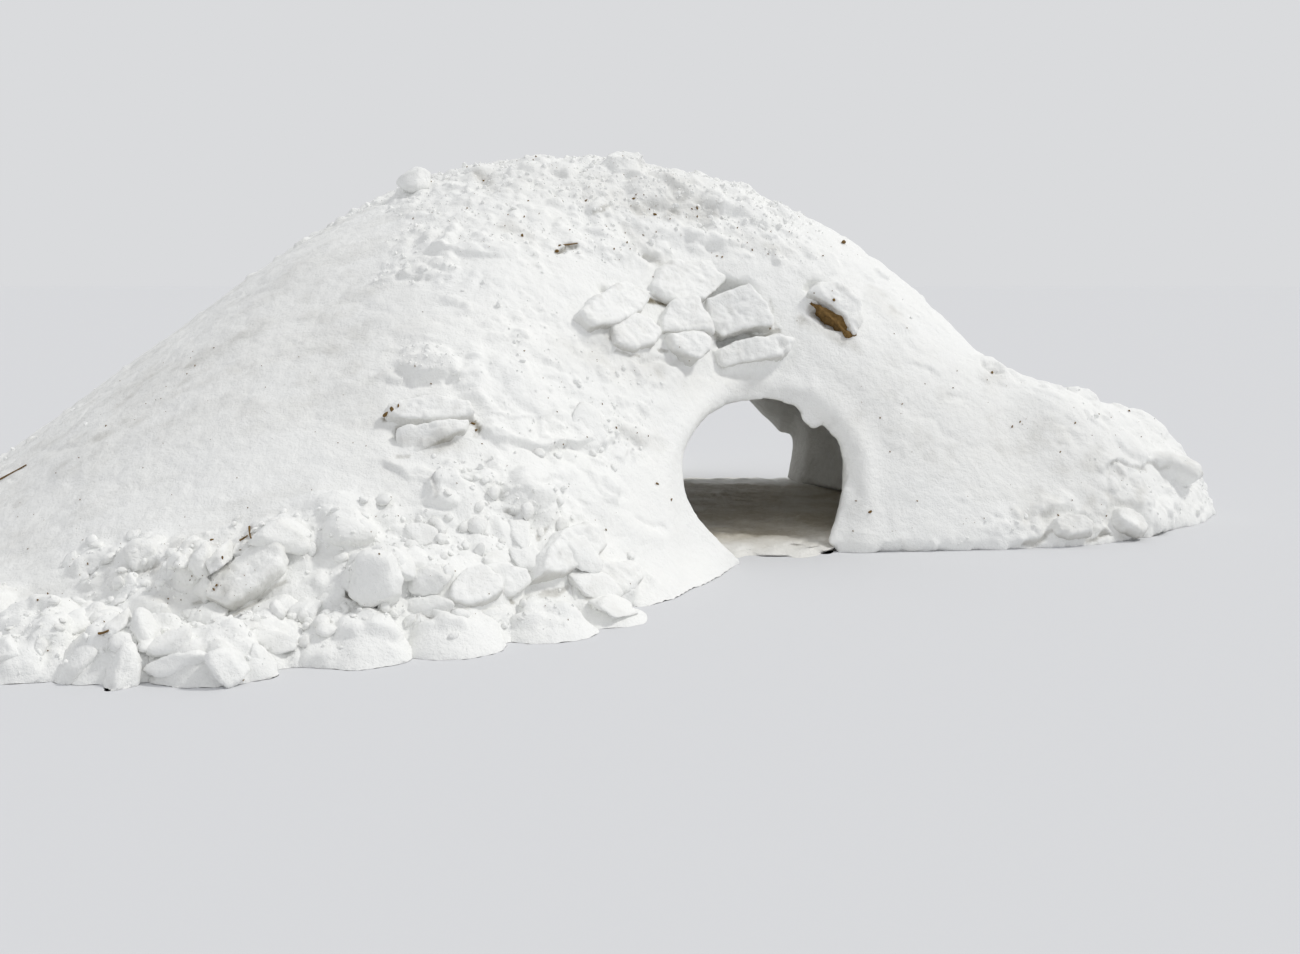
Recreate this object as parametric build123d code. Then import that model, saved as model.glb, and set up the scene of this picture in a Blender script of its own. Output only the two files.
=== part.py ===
from build123d import *
import math
import os
import random

# Snow cave: a heaped mound of snow with a hollowed chamber, a doorway at the front and an
# exit at the back. Millimetres, +Z up, the doorway faces -Y. The origin is on the ground,
# in the middle of the chamber floor.

# Heap: a dome whose foot and steepness change with the compass direction from its peak.
PEAK_X = -1180
PEAK_Y = 200
PEAK_HEIGHT = 2345
PEAK_ROUNDING = 220
SHOULDER_ROUNDING = 90
RIGHT_SIDE_ROUNDING = 120
PEAK_CONE = 3200
PEAK_STEEPNESS = 0.9
PEAK_REACH = 1300
# Direction in degrees, distance of the foot from the peak in metres, slope in degrees.
HEAP_SIDES = [
    (-180, 4.12, 36.0), (-150, 4.15, 36.5), (-125, 4.15, 36.0), (-108, 4.05, 36.5),
    (-96, 3.75, 39.0), (-86, 3.15, 45.0), (-77, 2.62, 53.0), (-68, 2.31, 58.0),
    (-60, 2.18, 62.0), (-52, 2.06, 65.0), (-43, 2.26, 62.0), (-34, 2.68, 56.0),
    (-24, 3.22, 49.0), (-10, 3.66, 45.5), (5, 3.78, 44.5), (20, 3.60, 46.0),
    (32, 2.90, 55.0), (43, 2.10, 64.0), (55, 2.06, 65.0), (68, 2.45, 57.0),
    (82, 3.20, 46.0), (100, 3.80, 39.0), (125, 4.00, 37.0), (155, 4.10, 36.0),
]

# Shallow ledge over the doorway, where the pile of blocks sits.
LEDGE_X = -100
LEDGE_Y = -800
LEDGE_DEPTH = 130
LEDGE_HALF_LENGTH = 620
LEDGE_HALF_WIDTH = 240

# Bank of snow thrown up to the right of the mound.
BANK_X = 1300
BANK_REACH = 1950
BANK_CREST = 1060
BANK_LINE_Y = -400
BANK_BEND = 850
BANK_HALF_WIDTH = 860
BANK_SLOPE = 1.30
BANK_LEFT_EDGE = 450
BANK_ROUNDING = 100
BANK_BLEND = 80

# The upright kerb that ends the heap at the ground.
KERB_HEIGHT = 50
KERB_POINTS = 32

# How finely the snow surface is laid out, and how closely it is fitted.
SURFACE_SPANS = 24
SURFACE_TOLERANCE = 20

# Passage through the mound, along Y: place, centre, half width, height of the widest
# level, half width of the floor, height of the roof.
PASSAGE = [
    (-2300, 500, 700, 500, 300, 1200),
    (-1750, 150, 600, 450, 250, 980),
    (-1300, 0, 455, 420, 360, 860),
    (-950, 0, 500, 420, 420, 880),
    (-500, -80, 800, 400, 740, 1050),
    (0, -120, 920, 400, 860, 1120),
    (500, -120, 850, 380, 780, 1020),
    (1000, -100, 580, 320, 500, 800),
    (1350, -100, 500, 300, 440, 740),
    (2300, 350, 560, 400, 480, 1100),
    (3000, 1100, 700, 400, 600, 1200),
]
DOOR_LEAN = 180
DOOR_Y = -1300
ROOF_CURVE = 2.2

# Trodden snow floor, in a trench that runs under the feet of the walls.
FLOOR_THICKNESS = 60
FLOOR_END_THICKNESS = 15
FLOOR_FRONT = -1500
FLOOR_BACK = 1600
FLOOR_LEVEL_FRONT = -1150
FLOOR_LEVEL_BACK = 1150
FLOOR_DOOR_HALF = 430
FLOOR_CHAMBER_LEFT = -1130
FLOOR_CHAMBER_RIGHT = 860
FLOOR_CHAMBER_Y = 560
FLOOR_NECK_Y = 1050

# Planes that part the mound into the pieces it was heaped and cut in.
TOP_JOINT = 1300
SPLIT_X = -100
ARCH_LEFT = -620
ARCH_RIGHT = 600
ARCH_FOOT = 500
ARCH_BACK = -700
EXIT_LEFT = -720
EXIT_RIGHT = 520
EXIT_FOOT = 450
EXIT_FRONT = 820
BANK_JOINT_FRONT = 1250
BANK_JOINT_BACK = 1700
BANK_JOINT_Y = 800
FAR = 14000

# Levels of a broken slab and of a rounded lump: share of the thickness, share of the outline.
SLAB_LEVELS = [(-0.5, 0.84), (-0.22, 1.0), (0.2, 0.97), (0.5, 0.76)]
LUMP_LEVELS = [(-0.5, 0.62), (-0.25, 0.92), (0.05, 1.0), (0.32, 0.82), (0.5, 0.5)]


def soft_min(a, b, soft):
    low = min(a, b)
    return low - soft * math.log(math.exp((low - a) / soft) + math.exp((low - b) / soft))


def soft_max(a, b, soft):
    return -soft_min(-a, -b, soft)


def heap_side(direction):
    """Distance of the foot from the peak and steepness, smoothly between the listed ones."""
    turn = (direction + 180) % 360 - 180
    count = len(HEAP_SIDES)
    k = max(i for i in range(count) if HEAP_SIDES[i][0] <= turn)

    def entry(i):
        angle, foot, slope = HEAP_SIDES[i % count]
        return angle + 360 * (i // count), foot * 1000, math.tan(math.radians(slope))

    before, start, end, after = (entry(i) for i in (k - 1, k, k + 1, k + 2))
    span = end[0] - start[0]
    u = (turn - start[0]) / span

    def between(i):
        leave = (end[i] - before[i]) / (end[0] - before[0]) * span
        arrive = (after[i] - start[i]) / (after[0] - start[0]) * span
        return ((2 * u**3 - 3 * u**2 + 1) * start[i] + (u**3 - 2 * u**2 + u) * leave
                + (3 * u**2 - 2 * u**3) * end[i] + (u**3 - u**2) * arrive)

    return between(1), between(2)


def dome(x, y):
    dx = x - PEAK_X
    dy = y - PEAK_Y
    reach = math.hypot(dx, dy)
    foot, slope = heap_side(math.degrees(math.atan2(dy, dx)))
    w = min(reach / PEAK_REACH, 1)
    w = w * w * (3 - 2 * w)
    cone = PEAK_CONE + (slope * foot - PEAK_CONE) * w
    steepness = PEAK_STEEPNESS + (slope - PEAK_STEEPNESS) * w
    rounding = PEAK_ROUNDING + w * (SHOULDER_ROUNDING + RIGHT_SIDE_ROUNDING * dx / max(reach, 1))
    level = soft_min(PEAK_HEIGHT, cone - steepness * reach, rounding)
    across = (x - LEDGE_X) / LEDGE_HALF_LENGTH
    into = (y - LEDGE_Y) / LEDGE_HALF_WIDTH
    return level - LEDGE_DEPTH * math.exp(-across**2 - into**2)


def bank(x, y):
    along = (x - BANK_X) / BANK_REACH
    fade = 1 - math.copysign(abs(along) ** 2.4, along)
    line_y = BANK_LINE_Y + BANK_BEND * max(along, 0) ** 2
    half = BANK_HALF_WIDTH * (fade**0.7 if fade > 0 else fade)
    side = BANK_SLOPE * (half - abs(y - line_y))
    ridge = soft_min(BANK_CREST * fade, side, BANK_ROUNDING)
    return soft_min(ridge, BANK_SLOPE * (x - BANK_LEFT_EDGE), BANK_ROUNDING)


def height(x, y):
    """Height of the snow over a point of the ground; below nought outside the foot."""
    return soft_max(dome(x, y), bank(x, y), BANK_BLEND)


def kerb_reach(direction):
    """How far from the origin the snow falls to the height of the kerb."""
    c, s = math.cos(direction), math.sin(direction)
    outer = 7000
    while height(outer * c, outer * s) < KERB_HEIGHT:
        outer -= 40
    inner, outer = outer, outer + 40
    for _ in range(12):
        middle = (inner + outer) / 2
        if height(middle * c, middle * s) < KERB_HEIGHT:
            outer = middle
        else:
            inner = middle
    return inner


def heap():
    """The whole mound, solid, from its foot to the snow surface."""
    left, right, front, back, count = -6400, 4600, -5400, 5400, SURFACE_SPANS
    rows = []
    for i in range(count + 1):
        x = left + (right - left) * i / count
        ys = [front + (back - front) * j / count for j in range(count + 1)]
        rows.append([Vector(x, y, height(x, y)) for y in ys])
    surface = Face.make_surface_from_array_of_points(rows, tol=SURFACE_TOLERANCE)
    below = Solid.extrude(surface, Vector(0, 0, -9000))
    turns = [2 * math.pi * i / KERB_POINTS for i in range(KERB_POINTS)]
    kerb = [(kerb_reach(t) * math.cos(t), kerb_reach(t) * math.sin(t)) for t in turns]
    return below & extrude(make_face(Spline(*kerb, periodic=True)), PEAK_HEIGHT + 500)


def passage_section(y, centre, half, wide_level, floor_half, roof):
    """Arched outline of the passage at one place along it, with its foot below the ground."""
    steps = 8
    lean = DOOR_LEAN * min(max(y / DOOR_Y, 0), 1) ** 4

    def side(sign, i):
        if i <= steps // 2:
            z = wide_level * i / (steps // 2)
            reach = floor_half + (half - floor_half) * math.sin(z / wide_level * math.pi / 2)
        else:
            turn = math.pi / 2 * (i - steps // 2) / (steps // 2)
            z = wide_level + (roof - wide_level) * math.sin(turn) ** (2 / ROOF_CURVE)
            reach = half * math.cos(turn)
        rise = max(z - wide_level, 0) / (roof - wide_level)
        return (centre + sign * reach - lean * rise**2, y, z)

    arch = [side(-1, i) for i in range(steps + 1)] + [side(1, i) for i in range(steps - 1, -1, -1)]
    left, right = (arch[0][0], y, -50), (arch[-1][0], y, -50)
    return Wire([
        Edge.make_spline([Vector(*p) for p in arch]),
        Edge.make_line(arch[-1], right),
        Edge.make_line(right, left),
        Edge.make_line(left, arch[0]),
    ])


def passage():
    return Solid.make_loft([passage_section(*row) for row in PASSAGE], ruled=True)


def prism(corners, bottom, top):
    face = make_face(Polyline(*corners, close=True))
    return extrude(Pos(0, 0, bottom) * face, top - bottom)


def floor_slab():
    """Trodden floor: level inside, thinning towards both ends."""
    plan = [
        (-FLOOR_DOOR_HALF, FLOOR_FRONT), (FLOOR_DOOR_HALF, FLOOR_FRONT),
        (FLOOR_DOOR_HALF, -FLOOR_NECK_Y), (FLOOR_CHAMBER_RIGHT, -FLOOR_CHAMBER_Y),
        (FLOOR_CHAMBER_RIGHT, FLOOR_CHAMBER_Y), (FLOOR_DOOR_HALF, FLOOR_NECK_Y),
        (FLOOR_DOOR_HALF, FLOOR_BACK), (SPLIT_X - FLOOR_DOOR_HALF - 50, FLOOR_BACK),
        (SPLIT_X - FLOOR_DOOR_HALF - 50, FLOOR_NECK_Y), (FLOOR_CHAMBER_LEFT, FLOOR_CHAMBER_Y),
        (FLOOR_CHAMBER_LEFT, -FLOOR_CHAMBER_Y), (-FLOOR_DOOR_HALF, -FLOOR_NECK_Y),
    ]
    side = Polyline(
        (FLOOR_FRONT, 0), (FLOOR_BACK, 0), (FLOOR_BACK, FLOOR_END_THICKNESS),
        (FLOOR_LEVEL_BACK, FLOOR_THICKNESS), (FLOOR_LEVEL_FRONT, FLOOR_THICKNESS),
        (FLOOR_FRONT, FLOOR_END_THICKNESS), close=True)
    rail = extrude(Plane.YZ * make_face(side), FAR / 2, both=True)
    return prism(plan, -50, FLOOR_THICKNESS + 50) & rail


def sector(start, end):
    """Upright wedge of the plan, between two directions from the middle of the chamber."""
    corners = [(SPLIT_X, 0)]
    for turn in (start, (start + end) / 2, end):
        a = math.radians(turn)
        corners.append((SPLIT_X + FAR * math.cos(a), FAR * math.sin(a)))
    return prism(corners, -100, PEAK_HEIGHT + 600)


def box(x0, x1, y0, y1, z0, z1):
    return prism([(x0, y0), (x1, y0), (x1, y1), (x0, y1)], z0, z1)


def largest(shape):
    """The main solid of a cut: crumbs that a cut leaves are not kept."""
    return max(shape.solids(), key=lambda s: s.volume)


def mound_pieces():
    body = heap() - passage() - floor_slab()
    top = body & box(-FAR, FAR, -FAR, FAR, TOP_JOINT, PEAK_HEIGHT + 600)
    lower = body & box(-FAR, FAR, -FAR, FAR, -100, TOP_JOINT)
    arch = box(ARCH_LEFT, ARCH_RIGHT, -FAR, ARCH_BACK, ARCH_FOOT, TOP_JOINT)
    exit_arch = box(EXIT_LEFT, EXIT_RIGHT, EXIT_FRONT, FAR, EXIT_FOOT, TOP_JOINT)
    bank_side = prism(
        [(BANK_JOINT_FRONT, -FAR), (FAR, -FAR), (FAR, BANK_JOINT_Y), (BANK_JOINT_BACK, BANK_JOINT_Y)],
        -100, TOP_JOINT)
    walls = lower - arch - exit_arch - bank_side
    return {
        "mound_top": largest(top),
        "doorway_arch": largest(lower & arch),
        "exit_arch": largest(lower & exit_arch),
        "right_bank": largest(lower & bank_side),
        "front_left_shoulder": largest(walls & sector(-130, -90)),
        "front_left_flank": largest(walls & sector(-175, -130)),
        "rear_left_flank": largest(walls & sector(-225, -175)),
        "rear_left_wall": largest(walls & sector(90, 135)),
        "rear_right_wall": largest(walls & sector(45, 90)),
        "right_wall": largest(walls & sector(-30, 45)),
        "doorway_right_jamb": largest(walls & sector(-90, -30)),
    }


def chunk(x, y, long, deep, thick, turn=0, follow=1.0, sink=60, roll=0, tip=0, seed=1, levels=SLAB_LEVELS):
    """A broken piece of packed snow, bedded on the heap: all its faces are flat.

    follow is how far it lies with the slope, from 0 for level to 1 for flat on the snow.
    """
    rng = random.Random(seed)
    corners = 7 if levels is SLAB_LEVELS else 9
    outline = []
    for i in range(corners):
        a = 2 * math.pi * (i + rng.uniform(-0.25, 0.25)) / corners
        k = rng.uniform(0.86, 1.0) / 2
        outline.append((k * long * math.cos(a), k * deep * math.sin(a)))
    rings = [[Vector(s * px, s * py, z * thick) for px, py in outline] for z, s in levels]
    faces = [Face(Wire.make_polygon(rings[0])), Face(Wire.make_polygon(rings[-1]))]
    for low, high in zip(rings, rings[1:]):
        for i in range(corners):
            j = (i + 1) % corners
            faces.append(Face(Wire.make_polygon([low[i], low[j], high[j], high[i]])))
    solid = Solid(Shell(faces))
    chip = Plane(
        origin=(0, 0, thick * 0.40), z_dir=(rng.uniform(-0.25, 0.25), rng.uniform(-0.3, 0.1), 1))
    solid = solid.split(chip, keep=Keep.BOTTOM)
    slope_x = (height(x + 40, y) - height(x - 40, y)) / 80 * follow
    slope_y = (height(x, y + 40) - height(x, y - 40)) / 80 * follow
    normal = Vector(-slope_x, -slope_y, 1).normalized()
    along = Vector(math.cos(math.radians(turn)), math.sin(math.radians(turn)), 0)
    along = (along - normal * along.dot(normal)).normalized()
    ground = max(height(x, y), 0)
    seat = Plane(origin=Vector(x, y, ground) + normal * (thick / 2 - sink), x_dir=along, z_dir=normal)
    placed = seat * Rot(roll, -tip, 0) * solid
    return largest(placed & box(-FAR, FAR, -FAR, FAR, 0, 2 * PEAK_HEIGHT))


def lump(x, y, long, deep, thick, **how):
    return chunk(x, y, long, deep, thick, levels=LUMP_LEVELS, **how)


def loose_pieces():
    """Blocks and lumps of packed snow that lie on the mound, in the order they were laid."""
    return {
        "ledge_slab": [chunk(-60, -890, 560, 230, 130, turn=4, follow=0.25, sink=35, tip=6, seed=3)],
        "lower_middle_block": [chunk(-450, -1200, 280, 200, 210, turn=10, follow=0.5, sink=70, seed=5)],
        "left_small_block": [chunk(-745, -1360, 290, 230, 180, turn=-20, follow=0.7, sink=50, tip=10, seed=8)],
        "right_block": [chunk(-150, -790, 470, 400, 190, turn=20, follow=0.9, sink=60, seed=11)],
        "upper_middle_block": [chunk(-485, -1080, 290, 270, 180, turn=-5, follow=0.7, sink=50, seed=13)],
        "left_slab": [chunk(-860, -1350, 390, 280, 130, turn=8, follow=0.6, sink=35, tip=40, seed=17)],
        "wide_top_slab": [chunk(-420, -835, 640, 330, 150, turn=12, follow=0.75, sink=50, tip=12, seed=19)],
        "earth_patch": [chunk(440, -725, 280, 170, 90, turn=-35, follow=1.0, sink=60, seed=23)],
        "earth_slab": [chunk(430, -650, 380, 260, 130, turn=-35, follow=0.9, sink=60, seed=29)],
        "left_ledge_under_slab": [chunk(-1700, -2600, 400, 260, 120, turn=5, follow=0.5, sink=60, seed=31)],
        "left_ledge_slab": [chunk(-1700, -2490, 500, 270, 120, turn=4, follow=0.35, sink=50, seed=37)],
        "top_left_block": [lump(-2090, -480, 260, 230, 170, turn=20, follow=0.8, sink=80, seed=41)],
        "top_ridge_blocks": [
            lump(-800, -330, 360, 280, 160, turn=0, follow=0.7, sink=90, seed=43),
            lump(-1350, -250, 330, 280, 130, turn=30, follow=0.6, sink=90, seed=47),
            lump(-260, -250, 320, 260, 130, turn=-20, follow=0.8, sink=85, seed=53),
        ],
        "tilted_foot_slab": [chunk(-2360, -3360, 450, 300, 110, turn=35, follow=1.4, sink=10, roll=12, seed=59)],
        "foot_round_lump": [lump(-2270, -3170, 260, 220, 200, turn=0, follow=0.5, sink=60, seed=61)],
        "foot_speckled_lump": [lump(-2590, -3290, 250, 240, 260, turn=15, follow=0.5, sink=80, seed=67)],
        "foot_small_lumps": [
            lump(-2900, -3090, 200, 180, 160, turn=0, follow=0.5, sink=55, seed=71),
            lump(-2930, -3200, 180, 140, 120, turn=10, follow=0.5, sink=45, seed=73),
            lump(-2790, -3390, 230, 170, 130, turn=-10, follow=0.5, sink=45, seed=79),
            lump(-2060, -3020, 220, 190, 170, turn=10, follow=0.6, sink=70, seed=80),
        ],
        "foot_broad_lump": [lump(-1830, -3350, 290, 270, 260, turn=10, follow=0.5, sink=80, seed=83)],
        "foot_upper_lump": [lump(-1990, -3140, 250, 210, 200, turn=-15, follow=0.6, sink=70, seed=85)],
        "foot_middle_lump": [lump(-1610, -3260, 280, 240, 210, turn=30, follow=0.5, sink=70, seed=89)],
        "foot_faced_block": [chunk(-1440, -3250, 240, 210, 240, turn=70, follow=0.6, sink=80, roll=20, seed=97)],
        "foot_leaning_slab": [chunk(-1260, -3100, 340, 240, 140, turn=-30, follow=1.2, sink=40, roll=15, seed=101)],
        "foot_wedge_block": [chunk(-1010, -2780, 400, 300, 260, turn=15, follow=0.7, sink=90, seed=103)],
        "foot_end_block": [chunk(-830, -2690, 380, 240, 190, turn=-10, follow=0.6, sink=70, seed=107)],
        "left_end_lumps": [
            lump(-3270, -3390, 360, 320, 230, turn=20, follow=0.4, sink=60, seed=109),
            lump(-3600, -3120, 320, 300, 200, turn=-30, follow=0.4, sink=60, seed=113),
            lump(-3930, -2840, 300, 270, 170, turn=50, follow=0.4, sink=60, seed=127),
        ],
        "left_front_lumps": [
            lump(-2960, -3580, 330, 320, 230, turn=10, follow=0.4, sink=50, seed=131),
            lump(-2640, -3640, 300, 300, 220, turn=-20, follow=0.4, sink=50, seed=137),
            lump(-2290, -3640, 420, 300, 220, turn=15, follow=0.4, sink=50, seed=139),
        ],
        "left_outer_lumps": [
            lump(-3110, -3795, 380, 330, 230, turn=10, follow=0.2, sink=30, seed=141),
            lump(-2750, -3850, 280, 330, 260, turn=70, follow=0.2, sink=30, seed=143),
            lump(-2400, -3865, 380, 330, 230, turn=-10, follow=0.2, sink=30, seed=145),
        ],
        "front_lumps": [
            lump(-1880, -3590, 380, 300, 190, turn=0, follow=0.4, sink=50, seed=149),
            lump(-1480, -3450, 320, 260, 160, turn=35, follow=0.4, sink=40, seed=151),
            lump(-1120, -3190, 300, 250, 150, turn=25, follow=0.4, sink=40, seed=153),
            lump(-880, -2930, 280, 240, 130, turn=-25, follow=0.4, sink=40, seed=157),
        ],
        "shoulder_lumps": [
            chunk(-1220, -2650, 280, 220, 150, turn=15, follow=0.8, sink=60, seed=163),
            chunk(-900, -2330, 260, 200, 140, turn=-20, follow=0.8, sink=60, seed=167),
            chunk(-1560, -2880, 280, 210, 140, turn=40, follow=0.8, sink=60, seed=173),
        ],
        "bank_end_slab": [chunk(2610, -330, 560, 300, 120, turn=-8, follow=0.35, sink=40, seed=179)],
        "bank_foot_slabs": [
            chunk(1790, -1120, 300, 190, 100, turn=15, follow=0.5, sink=40, seed=181),
            chunk(2180, -930, 260, 200, 110, turn=-15, follow=0.5, sink=40, seed=191),
        ],
        "bank_crest_lumps": [
            lump(1500, -430, 260, 220, 130, turn=10, follow=0.6, sink=60, seed=193),
            lump(2050, -330, 280, 220, 130, turn=-25, follow=0.6, sink=60, seed=197),
        ],
    }


def bed_loose_pieces(loose):
    """Each later piece is cut to lie against the ones laid before it."""
    laid = []
    bedded = {}
    for name, solids in loose.items():
        kept = []
        for solid in solids:
            near = [other for other in laid if other.bounding_box().overlaps(solid.bounding_box())]
            if near:
                solid = largest(solid.cut(*near))
            laid.append(solid)
            kept.append(solid)
        bedded[name] = kept
    return bedded, laid


def build():
    os.makedirs("parts", exist_ok=True)
    bedded, laid = bed_loose_pieces(loose_pieces())
    pieces = {"chamber_floor": floor_slab()}
    for name, solid in mound_pieces().items():
        pieces[name] = largest(solid.cut(*laid))
    for name, solids in bedded.items():
        pieces[name] = solids[0] if len(solids) == 1 else Compound(children=solids)
    for name, shape in pieces.items():
        export_step(shape, f"parts/{name}.step")


if __name__ == "__main__":
    build()
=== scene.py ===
import math
import random

import bmesh
import bpy
import numpy as np
from mathutils import Matrix, Vector
from mathutils.bvhtree import BVHTree
from mathutils.kdtree import KDTree


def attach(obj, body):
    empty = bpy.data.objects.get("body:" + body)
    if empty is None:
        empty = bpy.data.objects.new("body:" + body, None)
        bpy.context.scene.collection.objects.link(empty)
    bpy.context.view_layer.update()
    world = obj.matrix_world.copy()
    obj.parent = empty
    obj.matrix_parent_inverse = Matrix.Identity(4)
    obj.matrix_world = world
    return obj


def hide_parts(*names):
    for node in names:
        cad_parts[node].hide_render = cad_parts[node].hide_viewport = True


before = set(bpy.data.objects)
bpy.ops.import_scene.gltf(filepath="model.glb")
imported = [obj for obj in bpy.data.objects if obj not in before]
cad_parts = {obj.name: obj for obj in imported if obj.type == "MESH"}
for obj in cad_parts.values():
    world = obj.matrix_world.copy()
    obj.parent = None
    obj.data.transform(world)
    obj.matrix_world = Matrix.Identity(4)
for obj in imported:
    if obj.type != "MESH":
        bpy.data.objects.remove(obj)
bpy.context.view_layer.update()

# Camera of the photograph: its frame in pixels, focal length, optical centre and place.
FRAME_WIDTH, FRAME_HEIGHT = 1300, 954
FOCAL_PIXELS = 1500
OPTICAL_CENTRE = (650, 431.5)
HORIZON_Y = 268
SENSOR_WIDTH = 36.0
EYE = np.array([-0.65, -9.7, 1.6])
PITCH = math.atan((OPTICAL_CENTRE[1] - HORIZON_Y) / FOCAL_PIXELS)
AHEAD = np.array([0, math.cos(PITCH), -math.sin(PITCH)])
UPWARD = np.array([0, math.sin(PITCH), math.cos(PITCH)])

WALLS = ["mound_top", "doorway_arch", "exit_arch", "right_bank", "front_left_shoulder",
         "front_left_flank", "rear_left_flank", "rear_left_wall", "rear_right_wall",
         "right_wall", "doorway_right_jamb"]
FLOOR = "chamber_floor"
EARTH = "earth_patch"
# The other free pieces keep the outlines that they have in the CAD model; BLOCK_SHAPES has the rest.
PLAIN_BLOCKS = ["bank_foot_slabs"]

# Doorway, where the passage is narrowest at the front.
DOOR_CENTRE = (0.0, 0.43)
DOOR_HALF = (0.455, 0.44)

# Slabs and blocks that lie free: where the middle lies, which way the flat top faces, thickness,
# seed, and the corners of the outline, right of and above the middle as the camera sees them. All
# in metres. The outlines were read from the photograph. The middles and the ways that the
# tops face were worked out outside this script, from the slope of the mound at the place where
# each block shows, and some of them were then moved.
BLOCK_SHAPES = {
    "ledge_slab": (
        (-0.055, -0.940, 1.104), (0.20, -0.86, 0.47), 0.140, 3,
        [(-0.235, 0), (-0.095, 0.060), (0.125, 0.085), (0.230, 0.065), (0.205, -0.005),
         (0.165, -0.040), (-0.035, -0.065), (-0.170, -0.085)]),
    "lower_middle_block": (
        (-0.439, -1.200, 1.150), (0.44, -0.76, 0.48), 0.150, 5,
        [(-0.130, 0.060), (0.080, 0.080), (0.120, 0.035), (0.105, -0.030), (0.040, -0.085),
         (-0.030, -0.060), (-0.100, -0.020)]),
    "left_small_block": (
        (-0.749, -1.412, 1.228), (0.62, -0.60, 0.50), 0.130, 8,
        [(-0.130, 0.065), (-0.010, 0.115), (0.080, 0.070), (0.140, 0), (0.095, -0.065),
         (-0.010, -0.100), (-0.110, -0.055)]),
    "right_block": (
        (-0.115, -0.838, 1.344), (0.18, -0.88, 0.43), 0.140, 11,
        [(-0.215, 0.060), (0.040, 0.155), (0.150, 0.030), (0.180, -0.045), (0.185, -0.100),
         (0.005, -0.110), (-0.110, -0.160), (-0.180, -0.100)]),
    "upper_middle_block": (
        (-0.479, -1.112, 1.316), (0.43, -0.74, 0.51), 0.135, 13,
        [(-0.115, -0.020), (-0.075, 0.065), (0, 0.110), (0.100, 0.105), (0.112, 0.045),
         (0.160, -0.010), (0.175, -0.105), (0.100, -0.095), (-0.105, -0.092)]),
    "left_slab": (
        (-0.858, -1.391, 1.376), (0.60, -0.56, 0.57), 0.135, 17,
        [(-0.205, -0.045), (-0.125, 0.040), (0.040, 0.130), (0.195, 0.075), (0.150, -0.025),
         (0, -0.105), (-0.125, -0.120)]),
    "wide_top_slab": (
        (-0.395, -0.835, 1.508), (0.48, -0.72, 0.50), 0.125, 19,
        [(-0.265, -0.020), (-0.215, 0.080), (-0.145, 0.120), (0.060, 0.115), (0.235, 0.130),
         (0.235, 0.070), (0.140, -0.035), (0.055, -0.105), (-0.140, -0.130), (-0.250, -0.075)]),
    "earth_patch": (
        (0.438, -0.728, 1.272), (0.18, -0.84, 0.51), 0.090, 23,
        [(-0.150, 0.118), (-0.080, 0.094), (0.040, 0.044), (0.115, -0.025), (0.140, -0.085),
         (0.085, -0.085), (0.015, -0.015), (-0.085, 0.058)]),
    "earth_slab": (
        (0.469, -0.664, 1.387), (0.25, -0.77, 0.59), 0.130, 29,
        [(-0.190, 0.045), (-0.120, 0.110), (0.010, 0.110), (0.130, 0.005), (0.150, -0.110),
         (0.110, -0.190), (0.050, -0.095), (-0.045, -0.025)]),
    "left_ledge_under_slab": (
        (-1.678, -2.631, 0.782), (0.15, -0.74, 0.65), 0.140, 31,
        [(-0.160, 0.050), (-0.015, 0.060), (0.175, 0.080), (0.155, 0.025), (0.035, -0.015),
         (-0.070, -0.060), (-0.100, -0.090), (-0.145, -0.080)]),
    "left_ledge_slab": (
        (-1.712, -2.509, 0.903), (0.08, -0.54, 0.84), 0.110, 37,
        [(-0.220, 0), (-0.185, 0.025), (-0.095, 0.040), (0.050, 0.050), (0.195, 0.030),
         (0.215, -0.015), (0.120, -0.030), (0, -0.040), (-0.120, -0.042), (-0.195, -0.025)]),
    "tilted_foot_slab": (
        (-2.371, -3.400, 0.284), (-0.10, -0.72, 0.69), 0.110, 59,
        [(-0.170, -0.075), (-0.140, 0.010), (0.010, 0.110), (0.140, 0.135), (0.170, 0.090),
         (0.145, 0.025), (0.045, -0.055), (-0.075, -0.130)]),
    "foot_faced_block": (
        (-1.437, -3.290, 0.184), (0.44, -0.62, 0.65), 0.240, 97,
        [(-0.110, -0.045), (-0.095, 0.030), (-0.040, 0.085), (0.045, 0.090), (0.110, 0.035),
         (0.125, -0.030), (0.055, -0.070), (-0.040, -0.085)]),
    "foot_leaning_slab": (
        (-1.313, -3.175, 0.207), (0.57, -0.62, 0.54), 0.140, 101,
        [(-0.135, 0.045), (-0.080, 0.070), (-0.015, 0.080), (0.100, 0.045), (0.120, -0.010),
         (0.030, -0.070), (0, -0.065), (-0.080, 0.015)]),
    "foot_wedge_block": (
        (-1.055, -2.828, 0.253), (0.61, -0.50, 0.61), 0.250, 103,
        [(-0.160, -0.115), (-0.150, -0.020), (-0.075, 0.090), (0.040, 0.125), (0.150, 0.115),
         (0.170, 0.040), (0.130, -0.015), (-0.030, -0.100)]),
    "foot_end_block": (
        (-0.870, -2.740, 0.100), (0.68, -0.47, 0.56), 0.190, 107,
        [(-0.160, 0.085), (0.010, 0.095), (0.120, 0.085), (0.150, 0.020), (0.100, -0.050),
         (0.020, -0.065), (-0.160, -0.075)]),
}
# Every other lump has frozen into the mound's surface.
LUMPS = sorted(set(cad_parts) - set(WALLS) - set(BLOCK_SHAPES) - set(PLAIN_BLOCKS) - {FLOOR})

# Widths of the faces of each skin, in metres.
SKIN_VOXEL = 0.026
BLOCK_VOXEL = 0.011
FLOOR_VOXEL = 0.02
EARTH_VOXEL = 0.007
SEED = 11

# Farther from the camera than anything in the scene.
SIGHT_REACH = 40
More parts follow.
